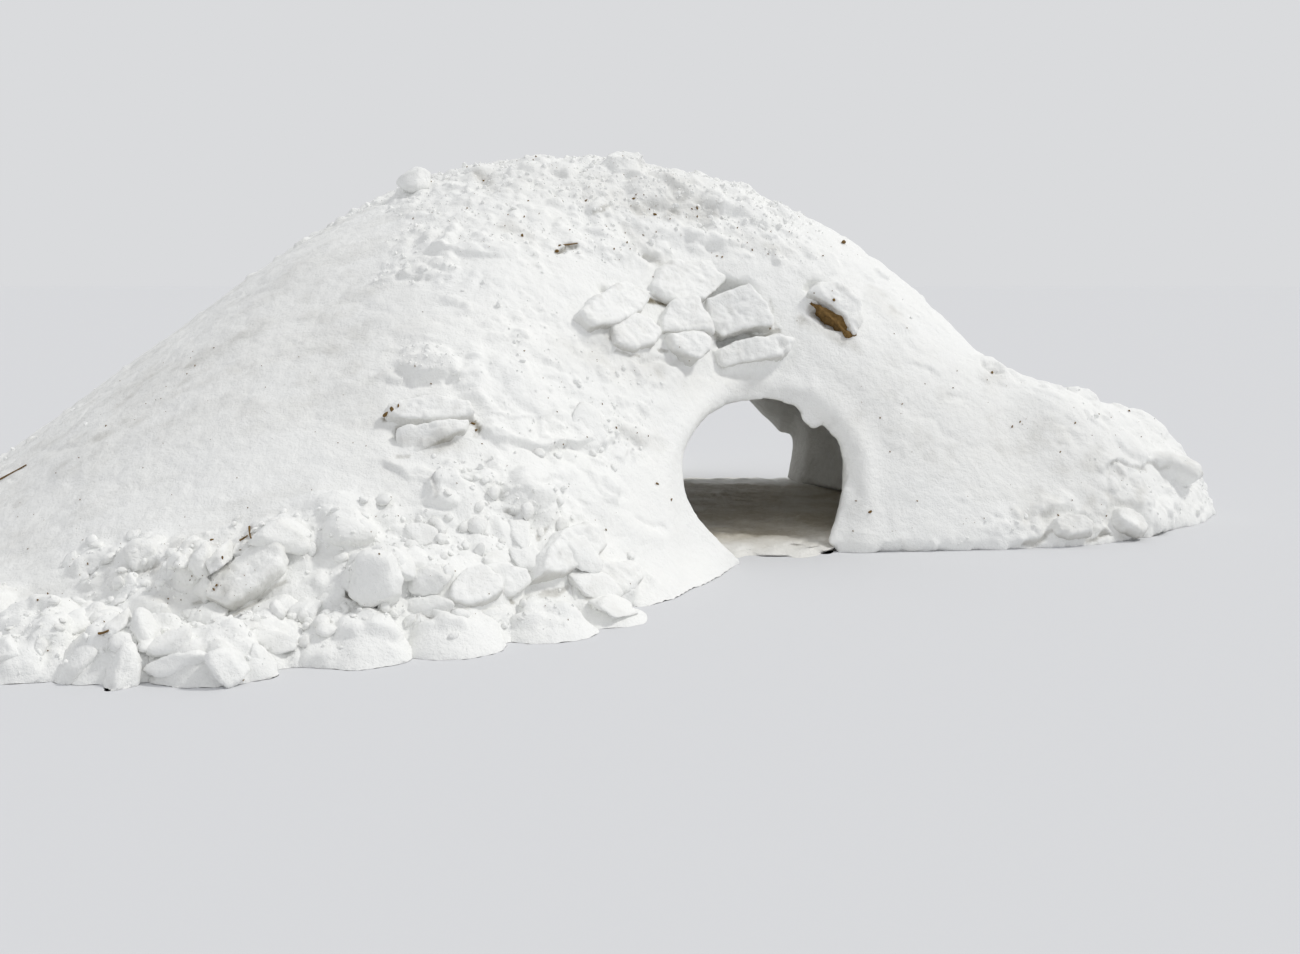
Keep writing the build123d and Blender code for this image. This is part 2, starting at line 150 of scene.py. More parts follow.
# The height of a block's levels and how much of its outline they have.
BLOCK_LEVELS = ((-0.5, 0.90), (-0.3, 1.0), (0.3, 1.0), (0.5, 0.88))
# How much of a block is left where the skin closes under it.
FILLER_SHARE = 0.87

# Where the snow lies otherwise than in the CAD model, in metres.
BANK_CREST_SHIFT = (0.0, 0.02, -0.110)
RUN_OUT = 0.115
RUN_OUT_HEIGHT = 0.17
EXIT_WALL_SHIFT = 0.27
EXIT_ROOF_DROP = 0.20
LEFT_JAMB_SHIFT = 0.045
RIGHT_JAMB_SHIFT = 0.020
ARCH_DROP = 0.046
COLLAR_HEIGHT = 0.030
ROUGH_DROP = 0.016
TOP_DROP = 0.040
# How far off a free block the skin's lumps are full grown.
CALM_REACH = 0.09
# A tooth of snow under the arch: middle and half size in pixels, and length in metres.
TOOTH_MIDDLE = (809, 420)
TOOTH_HALF = (16, 22)
TOOTH_LENGTH = 0.060


# Patterns on points, in metres.
def cell_numbers(cells, seed, count):
    """Repeatable numbers from 0 to 1 for each whole-numbered cell."""
    c = cells.astype(np.int64).astype(np.uint32)
    h = (c[:, 0] * np.uint32(73856093)) ^ (c[:, 1] * np.uint32(19349663))
    h = h ^ (c[:, 2] * np.uint32(83492791)) ^ np.uint32((seed * 2654435761) % 2**32)
    out = []
    for _ in range(count):
        h = (h ^ (h >> np.uint32(15))) * np.uint32(2246822519)
        h = (h ^ (h >> np.uint32(13))) * np.uint32(3266489917) + np.uint32(668265263)
        out.append((h ^ (h >> np.uint32(16))) / 4294967296.0)
    return out


def ripple(points, size, seed):
    """Smooth noise from -1 to 1 whose lumps are about size across."""
    p = points / size
    cell = np.floor(p)
    f = p - cell
    f = f * f * f * (f * (f * 6 - 15) + 10)
    total = 0.0
    for corner in np.ndindex(2, 2, 2):
        w = 1.0
        for k in range(3):
            w = w * (f[:, k] if corner[k] else 1 - f[:, k])
        total = total + w * cell_numbers(cell + corner, seed, 1)[0]
    return total * 2 - 1


# A turn about a slanting axis, so that the grids of two layers of noise never line up.
TURN = np.array([[0.36, 0.48, -0.80], [-0.80, 0.60, 0.0], [0.48, 0.64, 0.60]])


def layered(points, size, seed, layers=4, gain=0.5):
    total, strength = 0.0, 1.0
    for k in range(layers):
        points = points @ TURN
        total = total + strength * ripple(points, size / 2**k, seed + 101 * k)
        strength *= gain
    return total


def warped(points, size, seed, amount):
    """The points pushed about, so that a pattern on them loses its regular outlines."""
    shift = [ripple(points, size, seed + k) for k in range(3)]
    return points + amount * np.stack(shift, -1)


def ease(values, low, high):
    """0 below low, 1 above high, smooth between; high may be the lower one."""
    t = np.clip((values - low) / (high - low), 0, 1)
    return t * t * (3 - 2 * t)


def in_photo(points):
    """Where points show in the photograph, in its pixels, and how far off they are."""
    rel = points - EYE
    depth = rel @ AHEAD
    x = OPTICAL_CENTRE[0] + FOCAL_PIXELS * rel[:, 0] / depth
    y = OPTICAL_CENTRE[1] - FOCAL_PIXELS * (rel @ UPWARD) / depth
    return x, y, depth


def sight_line(x, y):
    ray = (AHEAD + (x - OPTICAL_CENTRE[0]) / FOCAL_PIXELS * np.array([1, 0, 0])
           + (OPTICAL_CENTRE[1] - y) / FOCAL_PIXELS * UPWARD)
    return Vector(ray).normalized()


def seen_place(tree, x, y):
    """What the photograph's camera sees at a pixel: the place, its normal and how far it is."""
    place, normal, _, far = tree.ray_cast(Vector(EYE), sight_line(x, y), SIGHT_REACH)
    return place, normal, far


# Meshes as arrays.
def points_of(mesh):
    co = np.empty(len(mesh.vertices) * 3)
    mesh.vertices.foreach_get("co", co)
    return co.reshape(-1, 3)


def normals_of(mesh):
    n = np.empty(len(mesh.vertices) * 3, np.float32)
    mesh.vertex_normals.foreach_get("vector", n)
    return n.reshape(-1, 3).astype(float)


def set_points(mesh, points):
    mesh.vertices.foreach_set("co", points.astype(np.float32).ravel())
    mesh.update()


def shade_smooth(mesh):
    mesh.polygons.foreach_set("use_smooth", np.ones(len(mesh.polygons), bool))


def edges_of(mesh):
    pairs = np.empty(len(mesh.edges) * 2, np.int64)
    mesh.edges.foreach_get("vertices", pairs)
    return pairs.reshape(-1, 2)


def faces_of(mesh):
    """Corner vertices of all faces in one row, where each face starts, and its corner count."""
    corners = np.empty(len(mesh.loops), np.int64)
    mesh.loops.foreach_get("vertex_index", corners)
    starts = np.empty(len(mesh.polygons), np.int64)
    mesh.polygons.foreach_get("loop_start", starts)
    counts = np.empty(len(mesh.polygons), np.int64)
    mesh.polygons.foreach_get("loop_total", counts)
    return corners, starts, counts


def new_object(name, mesh):
    obj = bpy.data.objects.new(name, mesh)
    bpy.context.scene.collection.objects.link(obj)
    return obj


def copy_of_nodes(name, nodes):
    bm = bmesh.new()
    for node in nodes:
        bm.from_mesh(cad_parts[node].data)
    bmesh.ops.remove_doubles(bm, verts=bm.verts, dist=0.0002)
    mesh = bpy.data.meshes.new(name)
    bm.to_mesh(mesh)
    bm.free()
    return mesh


def drawn_in(mesh, share):
    """A copy of a mesh, each of its separate solids drawn in towards its own middle."""
    bm = bmesh.new()
    bm.from_mesh(mesh)
    reached = set()
    for first in bm.verts:
        if first in reached:
            continue
        reached.add(first)
        part = [first]
        for v in part:
            for e in v.link_edges:
                other = e.other_vert(v)
                if other not in reached:
                    reached.add(other)
                    part.append(other)
        middle = sum((v.co for v in part), Vector()) / len(part)
        for v in part:
            v.co = middle + (v.co - middle) * share
    out = bpy.data.meshes.new(mesh.name + "_inner")
    bm.to_mesh(out)
    bm.free()
    return out


def merged(name, meshes):
    bm = bmesh.new()
    for mesh in meshes:
        bm.from_mesh(mesh)
    out = bpy.data.meshes.new(name)
    bm.to_mesh(out)
    bm.free()
    return out


def evaluated_copy(obj):
    """The plain mesh that an object's modifiers make; the object goes."""
    graph = bpy.context.evaluated_depsgraph_get()
    mesh = bpy.data.meshes.new_from_object(obj.evaluated_get(graph))
    bpy.data.objects.remove(obj)
    return mesh


def remeshed(mesh, voxel):
    """The closed skin of a mesh, in even faces of about voxel across."""
    obj = new_object("remesh_work", mesh)
    mod = obj.modifiers.new("skin", "REMESH")
    mod.mode = "VOXEL"
    mod.voxel_size = voxel
    return evaluated_copy(obj)


def smoothed(points, pairs, rounds, weight=1.0):
    """Points drawn towards the mean of their neighbours; weight may differ by point."""
    count = np.maximum(np.bincount(pairs.ravel(), minlength=len(points)), 1)[:, None]
    weight = np.broadcast_to(np.asarray(weight, float), (len(points),))[:, None] * 0.5
    for _ in range(rounds):
        total = np.zeros_like(points)
        for k in range(points.shape[1]):
            total[:, k] = (np.bincount(pairs[:, 0], points[pairs[:, 1], k], len(points))
                           + np.bincount(pairs[:, 1], points[pairs[:, 0], k], len(points)))
        points = points + (total / count - points) * weight
    return points


def surface_of(meshes):
    """Nearest-point and ray search over meshes, and which mesh each face came from."""
    verts, faces, owner = [], [], []
    for k, mesh in enumerate(meshes):
        base = len(verts)
        verts.extend(points_of(mesh).tolist())
        corners, starts, _ = faces_of(mesh)
        faces.extend((c + base).tolist() for c in np.split(corners, starts[1:]))
        owner.extend([k] * len(starts))
    return BVHTree.FromPolygons(verts, faces), np.array(owner)


# Materials. Colours are the sRGB that the eye reads.
def linear(hex_colour):
    out = []
    for k in (1, 3, 5):
        c = int(hex_colour[k:k + 2], 16) / 255
        out.append(c / 12.92 if c <= 0.04045 else ((c + 0.055) / 1.055) ** 2.4)
    return (*out, 1.0)


def add(tree, kind, inputs=None, **settings):
    """Adds a node with its settings; an input is a value or the output socket that feeds it."""
    node = tree.nodes.new(kind)
    for name, value in settings.items():
        setattr(node, name, value)
    for name, value in (inputs or {}).items():
        socket = node.inputs[name]
        if isinstance(value, bpy.types.NodeSocket):
            tree.links.new(value, socket)
        else:
            socket.default_value = value
    return node


def new_material(name, roughness, specular):
    material = bpy.data.materials.new(name)
    material.use_nodes = True
    tree = material.node_tree
    shader = tree.nodes["Principled BSDF"]
    shader.inputs["Roughness"].default_value = roughness
    shader.inputs["Specular IOR Level"].default_value = specular
    shader.inputs["IOR"].default_value = 1.31
    place = add(tree, "ShaderNodeTexCoord").outputs["Object"]
    return material, tree, shader, place


def snow_material(name, bright, dull, grime_and_shade_colour, grain, lumps):
    """Old snow: white ice grains, dulled in patches, with grime and painted shade where the mesh says
    so.

    grain and lumps are the widths in metres of its two bumps.
    """
    material, tree, shader, place = new_material(name, 0.6, 0.35)
    patch = add(tree, "ShaderNodeTexNoise", {"Vector": place, "Scale": 1 / 0.35, "Detail": 5.0,
                                             "Roughness": 0.6})
    white = add(tree, "ShaderNodeMix", {"Factor": patch.outputs["Fac"], 6: linear(bright),
                                        7: linear(dull)}, data_type="RGBA")
    grime_and_shade = add(tree, "ShaderNodeAttribute", attribute_name="grime_and_shade").outputs["Fac"]
    mottle = add(tree, "ShaderNodeTexNoise", {"Vector": place, "Scale": 1 / 0.04, "Detail": 6.0,
                                              "Roughness": 0.7})
    spread = add(tree, "ShaderNodeMapRange", {"Value": mottle.outputs["Fac"], "From Min": 0.3,
                                              "From Max": 0.7, "To Min": 0.75, "To Max": 1.15})
    dirt_and_shade_share = add(tree, "ShaderNodeMath", {0: grime_and_shade, 1: spread.outputs["Result"]},
                operation="MULTIPLY", use_clamp=True)
    tinted = add(tree, "ShaderNodeMix", {"Factor": dirt_and_shade_share.outputs["Value"], 6: white.outputs[2],
                                         7: linear(grime_and_shade_colour)}, data_type="RGBA")
    tree.links.new(tinted.outputs[2], shader.inputs["Base Color"])
    coarse = add(tree, "ShaderNodeTexNoise", {"Vector": place, "Scale": 1 / lumps, "Detail": 5.0,
                                              "Roughness": 0.65})
    fine = add(tree, "ShaderNodeTexNoise", {"Vector": place, "Scale": 1 / grain, "Detail": 3.0,
                                            "Roughness": 0.7})
    first = add(tree, "ShaderNodeBump", {"Height": coarse.outputs["Fac"], "Strength": 0.6,
                                         "Distance": lumps * 0.45})
    second = add(tree, "ShaderNodeBump", {"Height": fine.outputs["Fac"], "Strength": 0.5,
                                          "Distance": grain * 0.6,
                                          "Normal": first.outputs["Normal"]})
    tree.links.new(second.outputs["Normal"], shader.inputs["Normal"])
    return material


# The last colour of each snow is its grime, which also stands in for painted shade in the passage, in
# joints and under blocks.
HEAPED_SNOW = snow_material("heaped_snow", "#fafaf7", "#f3f4f3", "#7d7664", 0.011, 0.045)
PACKED_SNOW = snow_material("packed_snow", "#fbfbf8", "#f4f5f4", "#7d7664", 0.009, 0.050)
TRODDEN_SNOW = snow_material("trodden_snow", "#f3f2ee", "#e4e3de", "#b3aa98", 0.014, 0.060)


def earth_material():
    """Frozen topsoil: dark brown and crumbly."""
    material, tree, shader, place = new_material("frozen_earth", 0.9, 0.2)
    crumbs = add(tree, "ShaderNodeTexNoise", {"Vector": place, "Scale": 1 / 0.02, "Detail": 6.0,
                                              "Roughness": 0.7})
    colour = add(tree, "ShaderNodeMix", {"Factor": crumbs.outputs["Fac"], 6: linear("#3a2d1b"),
                                         7: linear("#9c7c4c")}, data_type="RGBA")
    tree.links.new(colour.outputs[2], shader.inputs["Base Color"])
    bump = add(tree, "ShaderNodeBump", {"Height": crumbs.outputs["Fac"], "Strength": 0.8,
                                        "Distance": 0.008})
    tree.links.new(bump.outputs["Normal"], shader.inputs["Normal"])
    return material


FROZEN_EARTH = earth_material()


def finish_piece(obj, material, slot, *replaced):
    obj.data.materials.clear()
    obj.data.materials.append(material)
    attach(obj, "root")
    if replaced:
        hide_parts(*replaced)


# The grime attribute darkens the snow's colour: real dirt, and painted shade in the passage, in joints
# and on undersides.
def set_grime_and_shade(mesh, values):
    layer = mesh.attributes.new("grime_and_shade", "FLOAT", "POINT")
    layer.data.foreach_set("value", np.clip(values, 0, 1).astype(np.float32))


# Free blocks.
def block_solid(name, middle, facing, thick, seed, corners):
    """A broken block, all its faces flat, its top chipped off askew."""
    middle, normal = Vector(middle), Vector(facing).normalized()
    across = Vector((1, 0, 0))
    across = (across - normal * across.dot(normal)).normalized()
    along = normal.cross(across)
    sight = (middle - Vector(EYE)).normalized()
    right = Vector((sight.y, -sight.x, 0)).normalized()
    up = right.cross(sight)
    bm = bmesh.new()
    rings = []
    for level, share in BLOCK_LEVELS:
        ring = []
        for right_by, up_by in corners:
            offset = right * right_by + up * up_by
            offset -= sight * (offset.dot(normal) / sight.dot(normal))
            ring.append(bm.verts.new(middle + offset * share + normal * (level * thick)))
        rings.append(ring)
    bm.faces.new(rings[0][::-1])
    bm.faces.new(rings[-1])
    count = len(corners)
    for low, high in zip(rings, rings[1:]):
        for i in range(count):
            j = (i + 1) % count
            bm.faces.new([low[i], low[j], high[j], high[i]])
    bmesh.ops.recalc_face_normals(bm, faces=bm.faces)
    rng = random.Random(seed)
    tilt = across * rng.uniform(-0.25, 0.25) + along * rng.uniform(-0.3, 0.1) + normal
    bmesh.ops.bisect_plane(bm, geom=bm.verts[:] + bm.edges[:] + bm.faces[:], clear_outer=True,
                           plane_co=middle + normal * (0.40 * thick), plane_no=tilt)
    bmesh.ops.holes_fill(bm, edges=[e for e in bm.edges if e.is_boundary])
    bmesh.ops.triangulate(bm, faces=bm.faces[:])
    bmesh.ops.recalc_face_normals(bm, faces=bm.faces)
    mesh = bpy.data.meshes.new(name)
    bm.to_mesh(mesh)
    bm.free()
    return mesh


def all_blocks():
    solids = {name: block_solid(name, *shape) for name, shape in BLOCK_SHAPES.items()}
    solids.update({name: copy_of_nodes(name, [name]) for name in PLAIN_BLOCKS})
    return solids


# The mound's surface.
def front_foot(points):
    """1 where lumps lie in a heap along the foot in front."""
    _, y, z = points.T
    return ease(z, 0.80, 0.55) * ease(y, -1.5, -2.1)


def mound_skin(solids):
    """One skin over walls and frozen-in lumps; finer where it shows from the front."""
    fillers = [drawn_in(solid, FILLER_SHARE) for name, solid in solids.items() if name != EARTH]
    deeper = copy_of_nodes("deeper", ["bank_crest_lumps"])
    deeper.transform(Matrix.Translation(BANK_CREST_SHIFT))
    lumps = copy_of_nodes("lumps", [name for name in LUMPS if name != "bank_crest_lumps"])
    body = merged("body", [copy_of_nodes("walls", WALLS), lumps, deeper] + fillers)
    mesh = remeshed(body, SKIN_VOXEL)
    points = points_of(mesh)
    points = filled(mesh, points, edges_of(mesh), 60, 1.3 * front_foot(points))
    set_points(mesh, points)
    bm = bmesh.new()
    bm.from_mesh(mesh)
    under = [f for f in bm.faces if f.calc_center_median().z < 0.006 and f.normal.z < -0.5]
    bmesh.ops.delete(bm, geom=under, context="FACES")
    for v in bm.verts:
        if v.is_boundary:
            v.co.z = 0.0
    eye = Vector(EYE)
    # A dict keeps its order and a set doesn't, and the order sets the lumps that are drawn later.
    shown = {}
    for f in bm.faces:
        c = f.calc_center_median()
        if c.y < 0.5 and (eye - c).dot(f.normal) > 0:
            shown.update(dict.fromkeys(f.edges))
    bmesh.ops.subdivide_edges(bm, edges=list(shown), cuts=1, use_grid_fill=True)
    bm.to_mesh(mesh)
    bm.free()
    return mesh


def under_cover(points, normals, tree):
    """1 where snow hangs over a point within arm's reach, as in the passage."""
    up = Vector((0, 0, 1))
    hit = np.zeros(len(points))
    inside = (np.abs(points[:, 0]) < 1.4) & (np.abs(points[:, 1]) < 2.2) & (points[:, 2] < 0.98)
    inside &= (points[:, 1] > -0.75) | (door_ring(points) < 1.1)
    for i in np.flatnonzero(inside):
        start = Vector(points[i] + normals[i] * 0.03)
        if tree.ray_cast(start, up, 1.3)[0] is not None:
            hit[i] = 1.0
    return hit


def door_ring(points):
    """How far a point is from the doorway's middle, with its edge at 1; 9 behind the front."""
    x, y, z = points.T
    across = (x - DOOR_CENTRE[0]) / DOOR_HALF[0]
    up = (z - DOOR_CENTRE[1]) / DOOR_HALF[1]
    ring = np.hypot(across, np.where(up > 0, up, up * 0.4))
    return np.where(y < -0.75, ring, 9.0)


# How lumpy the snow is, read from the photograph: a line in its pixels, the reach on
# each side of it, and the share from 0 for smooth to 1 for a heap of broken lumps.
ROUGH = [
    (400, 180, 640, 172, 42, 0.50), (590, 185, 790, 215, 46, 0.62), (430, 225, 620, 235, 40, 0.42),
    (640, 240, 790, 250, 30, 0.42), (800, 225, 930, 320, 30, 0.20), (400, 262, 470, 268, 24, 0.50),
    (470, 290, 560, 330, 50, 0.30), (500, 350, 660, 400, 50, 0.34), (400, 362, 456, 372, 28, 0.55),
    (440, 420, 600, 440, 30, 0.38), (430, 475, 560, 500, 34, 0.42), (510, 500, 570, 560, 34, 0.62),
    (600, 420, 660, 446, 26, 0.45), (120, 580, 330, 545, 44, 0.55), (0, 655, 320, 630, 46, 0.62),
    (330, 600, 620, 585, 42, 0.55), (330, 535, 470, 545, 34, 0.50), (560, 560, 650, 590, 30, 0.55),
    (0, 700, 320, 700, 40, 0.60), (975, 362, 1110, 388, 20, 0.25), (1090, 410, 1190, 452, 30, 0.28),
    (1100, 470, 1230, 490, 30, 0.32), (1000, 530, 1180, 520, 26, 0.35), (870, 545, 1000, 548, 14, 0.35),
]
SMOOTH_SHARE = 0.10


def rough_share(points, facing):
    """Where the heap is lumpy: by ROUGH in front, and on its top and round its foot behind."""
    x, y, z = points.T
    top = ease(z, 1.5, 2.1) * 0.65
    foot = ease(z, 0.7, 0.3) * 0.6
    behind = np.maximum.reduce([top, foot, np.full(len(x), 0.22)])
    px, py, _ = in_photo(points)
    px = px + 16 * ripple(points, 0.30, SEED + 70) + 7 * ripple(points, 0.11, SEED + 72)
    py = py + 16 * ripple(points, 0.30, SEED + 71) + 7 * ripple(points, 0.11, SEED + 73)
    front = np.full(len(x), SMOOTH_SHARE)
    for x0, y0, x1, y1, reach, share in ROUGH:
        away = off_line(px, py, x0, y0, x1, y1)
        front = np.maximum(front, share * ease(away / reach, 1.25, 0.35))
    w = ease(facing, 0.0, 0.25) * ease(y, 0.9, 0.3)
    return front * w + behind * (1 - w)


# Forms of the surface, read from the photograph: kind, line from and to in its pixels,
# reach in pixels, and height in metres. A step stands out above its line and drops at it.
FORMS = [
    ("hollow", 478, 174, 484, 178, 14, 0.030),
    ("hollow", 650, 198, 705, 212, 22, 0.040),
    ("hollow", 628, 228, 634, 238, 12, 0.025),
    ("hollow", 640, 250, 660, 266, 9, 0.035),
    ("hump", 597, 206, 599, 210, 12, 0.035),
    ("hump", 640, 176, 690, 182, 16, 0.030),
    ("hump", 720, 200, 790, 216, 18, 0.025),
    ("hump", 600, 235, 640, 262, 14, 0.022),
    ("hump", 670, 232, 730, 244, 12, 0.020),
    ("step", 440, 250, 505, 252, 14, 0.022),
    ("step", 398, 277, 452, 272, 14, 0.020),
    ("hump", 446, 244, 452, 256, 12, 0.030),
    ("hump", 408, 364, 446, 366, 18, 0.035),
    ("step", 396, 381, 456, 379, 15, 0.028),
    ("hump", 470, 350, 480, 400, 16, 0.022),
    ("hump", 505, 365, 530, 392, 20, 0.020),
    ("hollow", 505, 410, 530, 411, 6, 0.015),
    ("step", 486, 418, 548, 412, 16, 0.022),
    ("step", 470, 432, 545, 448, 18, 0.032),
    ("step", 556, 449, 600, 446, 15, 0.034),
    ("hollow", 545, 425, 556, 440, 9, 0.018),
    ("step", 396, 470, 432, 492, 12, 0.020),
    ("hollow", 532, 528, 548, 540, 10, 0.026),
    ("hollow", 582, 472, 600, 490, 9, 0.014),
    ("hollow", 604, 482, 626, 496, 8, 0.014),
    ("hollow", 640, 522, 656, 534, 8, 0.012),
    ("hump", 560, 470, 572, 474, 14, 0.018),
    ("step", 500, 488, 548, 482, 16, 0.026),
    ("hump", 590, 505, 650, 545, 16, 0.014),
    ("hump", 520, 340, 560, 360, 26, 0.018),
    ("hollow", 590, 345, 640, 352, 20, 0.024),
    ("hollow", 700, 372, 800, 378, 14, 0.012),
    ("hollow", 814, 308, 848, 330, 10, 0.024),
    ("hump", 806, 296, 850, 312, 9, 0.030),
    ("step", 905, 352, 932, 368, 16, 0.010),
    ("hump", 870, 300, 905, 330, 12, 0.014),
    ("hump", 985, 366, 1010, 372, 16, 0.030),
    ("hump", 1085, 384, 1110, 392, 13, 0.010),
    ("hollow", 1040, 380, 1066, 386, 14, 0.016),
    ("step", 1106, 466, 1166, 461, 15, 0.022),
    ("step", 1022, 541, 1060, 530, 14, 0.026),
    ("step", 1082, 536, 1104, 532, 12, 0.022),
    ("step", 1100, 548, 1160, 533, 14, 0.026),
    ("hump", 1040, 505, 1060, 508, 16, 0.022),
    ("hump", 1110, 505, 1140, 510, 18, 0.026),
    ("hollow", 1066, 424, 1078, 440, 12, 0.012),
    ("hollow", 905, 408, 930, 414, 12, 0.010),
    ("hollow", 950, 394, 962, 396, 8, 0.012),
    ("step", 860, 545, 930, 548, 12, 0.012),
    ("hollow", 832, 440, 862, 520, 12, 0.008),
    ("hump", 60, 470, 330, 330, 30, 0.010),
    ("hollow", 120, 500, 340, 400, 26, 0.010),
]
# Open joints under lumps: line in pixels, reach in pixels, depth in metres, and the grime and painted
# shade in them.
GAPS = [
    (382, 419, 398, 406, 5, 0.045, 0.90), (398, 429, 466, 425, 5, 0.030, 0.60),
    (470, 422, 476, 434, 5, 0.040, 0.80), (553, 250, 577, 244, 4, 0.030, 0.70),
    (196, 604, 212, 600, 4, 0.030, 0.40), (213, 598, 221, 580, 4, 0.030, 0.60),
    (236, 617, 288, 581, 3, 0.030, 0.35), (148, 574, 158, 566, 3, 0.020, 0.30),
    (349, 597, 361, 603, 4, 0.040, 0.60), (361, 603, 386, 614, 3, 0.020, 0.20),
    (484, 582, 499, 590, 5, 0.045, 0.60), (499, 590, 512, 604, 4, 0.045, 0.60),
    (447, 600, 462, 612, 4, 0.030, 0.25), (464, 609, 478, 606, 3, 0.030, 0.40),
    (540, 592, 566, 587, 5, 0.035, 0.35), (590, 602, 604, 600, 3, 0.025, 0.35),
    (418, 612, 430, 618, 4, 0.025, 0.25), (80, 722, 137, 716, 4, 0.040, 0.60),
    (162, 712, 190, 710, 4, 0.040, 0.40), (644, 252, 662, 264, 4, 0.025, 0.30),
    (597, 212, 606, 208, 4, 0.030, 0.40), (430, 484, 434, 492, 4, 0.025, 0.20),
    (510, 512, 516, 516, 3, 0.025, 0.35), (540, 540, 546, 534, 4, 0.030, 0.40),
    (1024, 542, 1060, 531, 4, 0.040, 0.40), (1084, 538, 1104, 533, 4, 0.040, 0.45),
    (1102, 549, 1158, 536, 3, 0.030, 0.30), (1112, 467, 1164, 462, 3, 0.015, 0.25),
    (611, 340, 622, 334, 5, 0.030, 0.45), (648, 302, 667, 304, 5, 0.030, 1.00),
    (706, 322, 712, 338, 3, 0.025, 0.60), (618, 352, 636, 357, 3, 0.025, 0.40),
    (660, 348, 668, 352, 3, 0.025, 0.45), (640, 362, 686, 364, 5, 0.015, 0.15),
    (770, 296, 774, 330, 3, 0.010, 0.20), (736, 334, 776, 330, 3, 0.020, 0.50),
    (812, 306, 846, 328, 5, 0.016, 0.60),
    (400, 462, 412, 460, 3, 0.020, 0.30), (556, 450, 566, 450, 3, 0.020, 0.15),
]
# Single lumps: middle, half width and half height in pixels, turn in degrees, height in metres.
CLODS = [
    (144, 557, 17, 15, -25, 0.075), (129, 588, 14, 9, 0, 0.045), (203, 559, 11, 15, 8, 0.075),
    (219, 557, 9, 19, 6, 0.080), (206, 591, 12, 10, -20, 0.055), (185, 556, 9, 12, 0, 0.045),
    (240, 552, 8, 9, 10, 0.040), (282, 538, 28, 17, -4, 0.085), (76, 626, 17, 13, 0, 0.070),
    (121, 624, 10, 10, 0, 0.055), (147, 609, 20, 8, 4, 0.045), (147, 631, 18, 8, 10, 0.050),
    (173, 644, 22, 8, -4, 0.045), (212, 621, 17, 13, 12, 0.065), (306, 614, 16, 14, 4, 0.075),
    (278, 612, 20, 9, -8, 0.050), (248, 626, 15, 9, -10, 0.040), (8, 654, 14, 11, 0, 0.060),
    (78, 660, 25, 13, -4, 0.065), (122, 676, 14, 26, 3, 0.085), (176, 664, 30, 8, -10, 0.045),
    (184, 692, 26, 17, -6, 0.085), (226, 668, 21, 15, 38, 0.085), (265, 638, 25, 11, 0, 0.045),
    (309, 647, 17, 13, 0, 0.038), (262, 664, 22, 12, 8, 0.045), (36, 690, 26, 20, 0, 0.060),
    (86, 704, 18, 15, 0, 0.055), (276, 690, 20, 11, 0, 0.045), (166, 590, 12, 8, 0, 0.035),
    (353, 535, 18, 13, 0, 0.065), (376, 582, 27, 26, 6, 0.105), (402, 566, 15, 13, 0, 0.060),
    (430, 580, 24, 14, -5, 0.065), (428, 607, 24, 9, 8, 0.050), (422, 536, 20, 9, 4, 0.040),
    (384, 560, 18, 8, 0, 0.035), (494, 560, 12, 11, 20, 0.050), (528, 556, 17, 13, -12, 0.050),
    (489, 616, 14, 8, 0, 0.045), (384, 626, 20, 9, 6, 0.036), (350, 628, 18, 10, 0, 0.038),
    (334, 600, 14, 11, 0, 0.040), (452, 624, 18, 8, 0, 0.035), (528, 618, 22, 8, 0, 0.035),
    (580, 551, 24, 15, 18, 0.050), (592, 586, 27, 14, 8, 0.055), (614, 606, 20, 12, 0, 0.045),
    (566, 612, 16, 8, 0, 0.035), (638, 578, 16, 9, 10, 0.030), (326, 680, 18, 9, 0, 0.040),
    (532, 497, 17, 13, -10, 0.040), (521, 532, 11, 21, -8, 0.040), (548, 520, 13, 16, 0, 0.030),
    (440, 500, 18, 11, 0, 0.025), (430, 515, 16, 7, 0, 0.020), (448, 480, 16, 11, -20, 0.034),
    (586, 432, 22, 16, -5, 0.045), (640, 436, 14, 9, 10, 0.028), (618, 450, 11, 8, 0, 0.018),
    (430, 368, 27, 12, -6, 0.034), (470, 378, 13, 16, 20, 0.020), (516, 378, 15, 20, 10, 0.022),
    (500, 440, 18, 8, 10, 0.022), (420, 448, 18, 12, -12, 0.034), (411, 181, 18, 10, -4, 0.056),
    (478, 163, 20, 9, 0, 0.038), (530, 162, 15, 8, 0, 0.034), (562, 162, 20, 9, 5, 0.038),
    (592, 165, 14, 7, 0, 0.034), (628, 165, 22, 9, 8, 0.038), (600, 203, 9, 10, 0, 0.036),
    (641, 196, 9, 11, 0, 0.030), (672, 173, 20, 10, 0, 0.038), (740, 192, 18, 9, 0, 0.038),
    (784, 207, 15, 11, 0, 0.036), (452, 232, 9, 12, 0, 0.028), (462, 248, 16, 6, 0, 0.024),
    (440, 262, 13, 6, 0, 0.022), (414, 266, 12, 7, 10, 0.024), (500, 246, 18, 7, 0, 0.018),
    (540, 215, 12, 8, 0, 0.020), (568, 232, 14, 8, -20, 0.022), (520, 182, 12, 7, 0, 0.020),
    (704, 236, 24, 10, 10, 0.026), (690, 205, 16, 9, 0, 0.026), (760, 215, 16, 8, 15, 0.020),
    (830, 262, 13, 10, 20, 0.020), (812, 250, 10, 7, 0, 0.018), (622, 252, 12, 12, 30, 0.022),
    (992, 371, 13, 9, -30, 0.030), (1100, 387, 13, 7, 0, 0.014), (1020, 376, 16, 6, 0, 0.016),
    (1130, 446, 26, 8, 18, 0.024), (1150, 420, 26, 7, 22, 0.022), (1190, 456, 15, 10, 0, 0.030),
    (1130, 500, 18, 9, -10, 0.022), (1050, 510, 20, 8, 0, 0.018), (1160, 520, 16, 9, 0, 0.024),
]
# Lumps of CLODS from this height on lie loose, the lower ones are frozen into the surface.
LOOSE_HEIGHT = 0.040
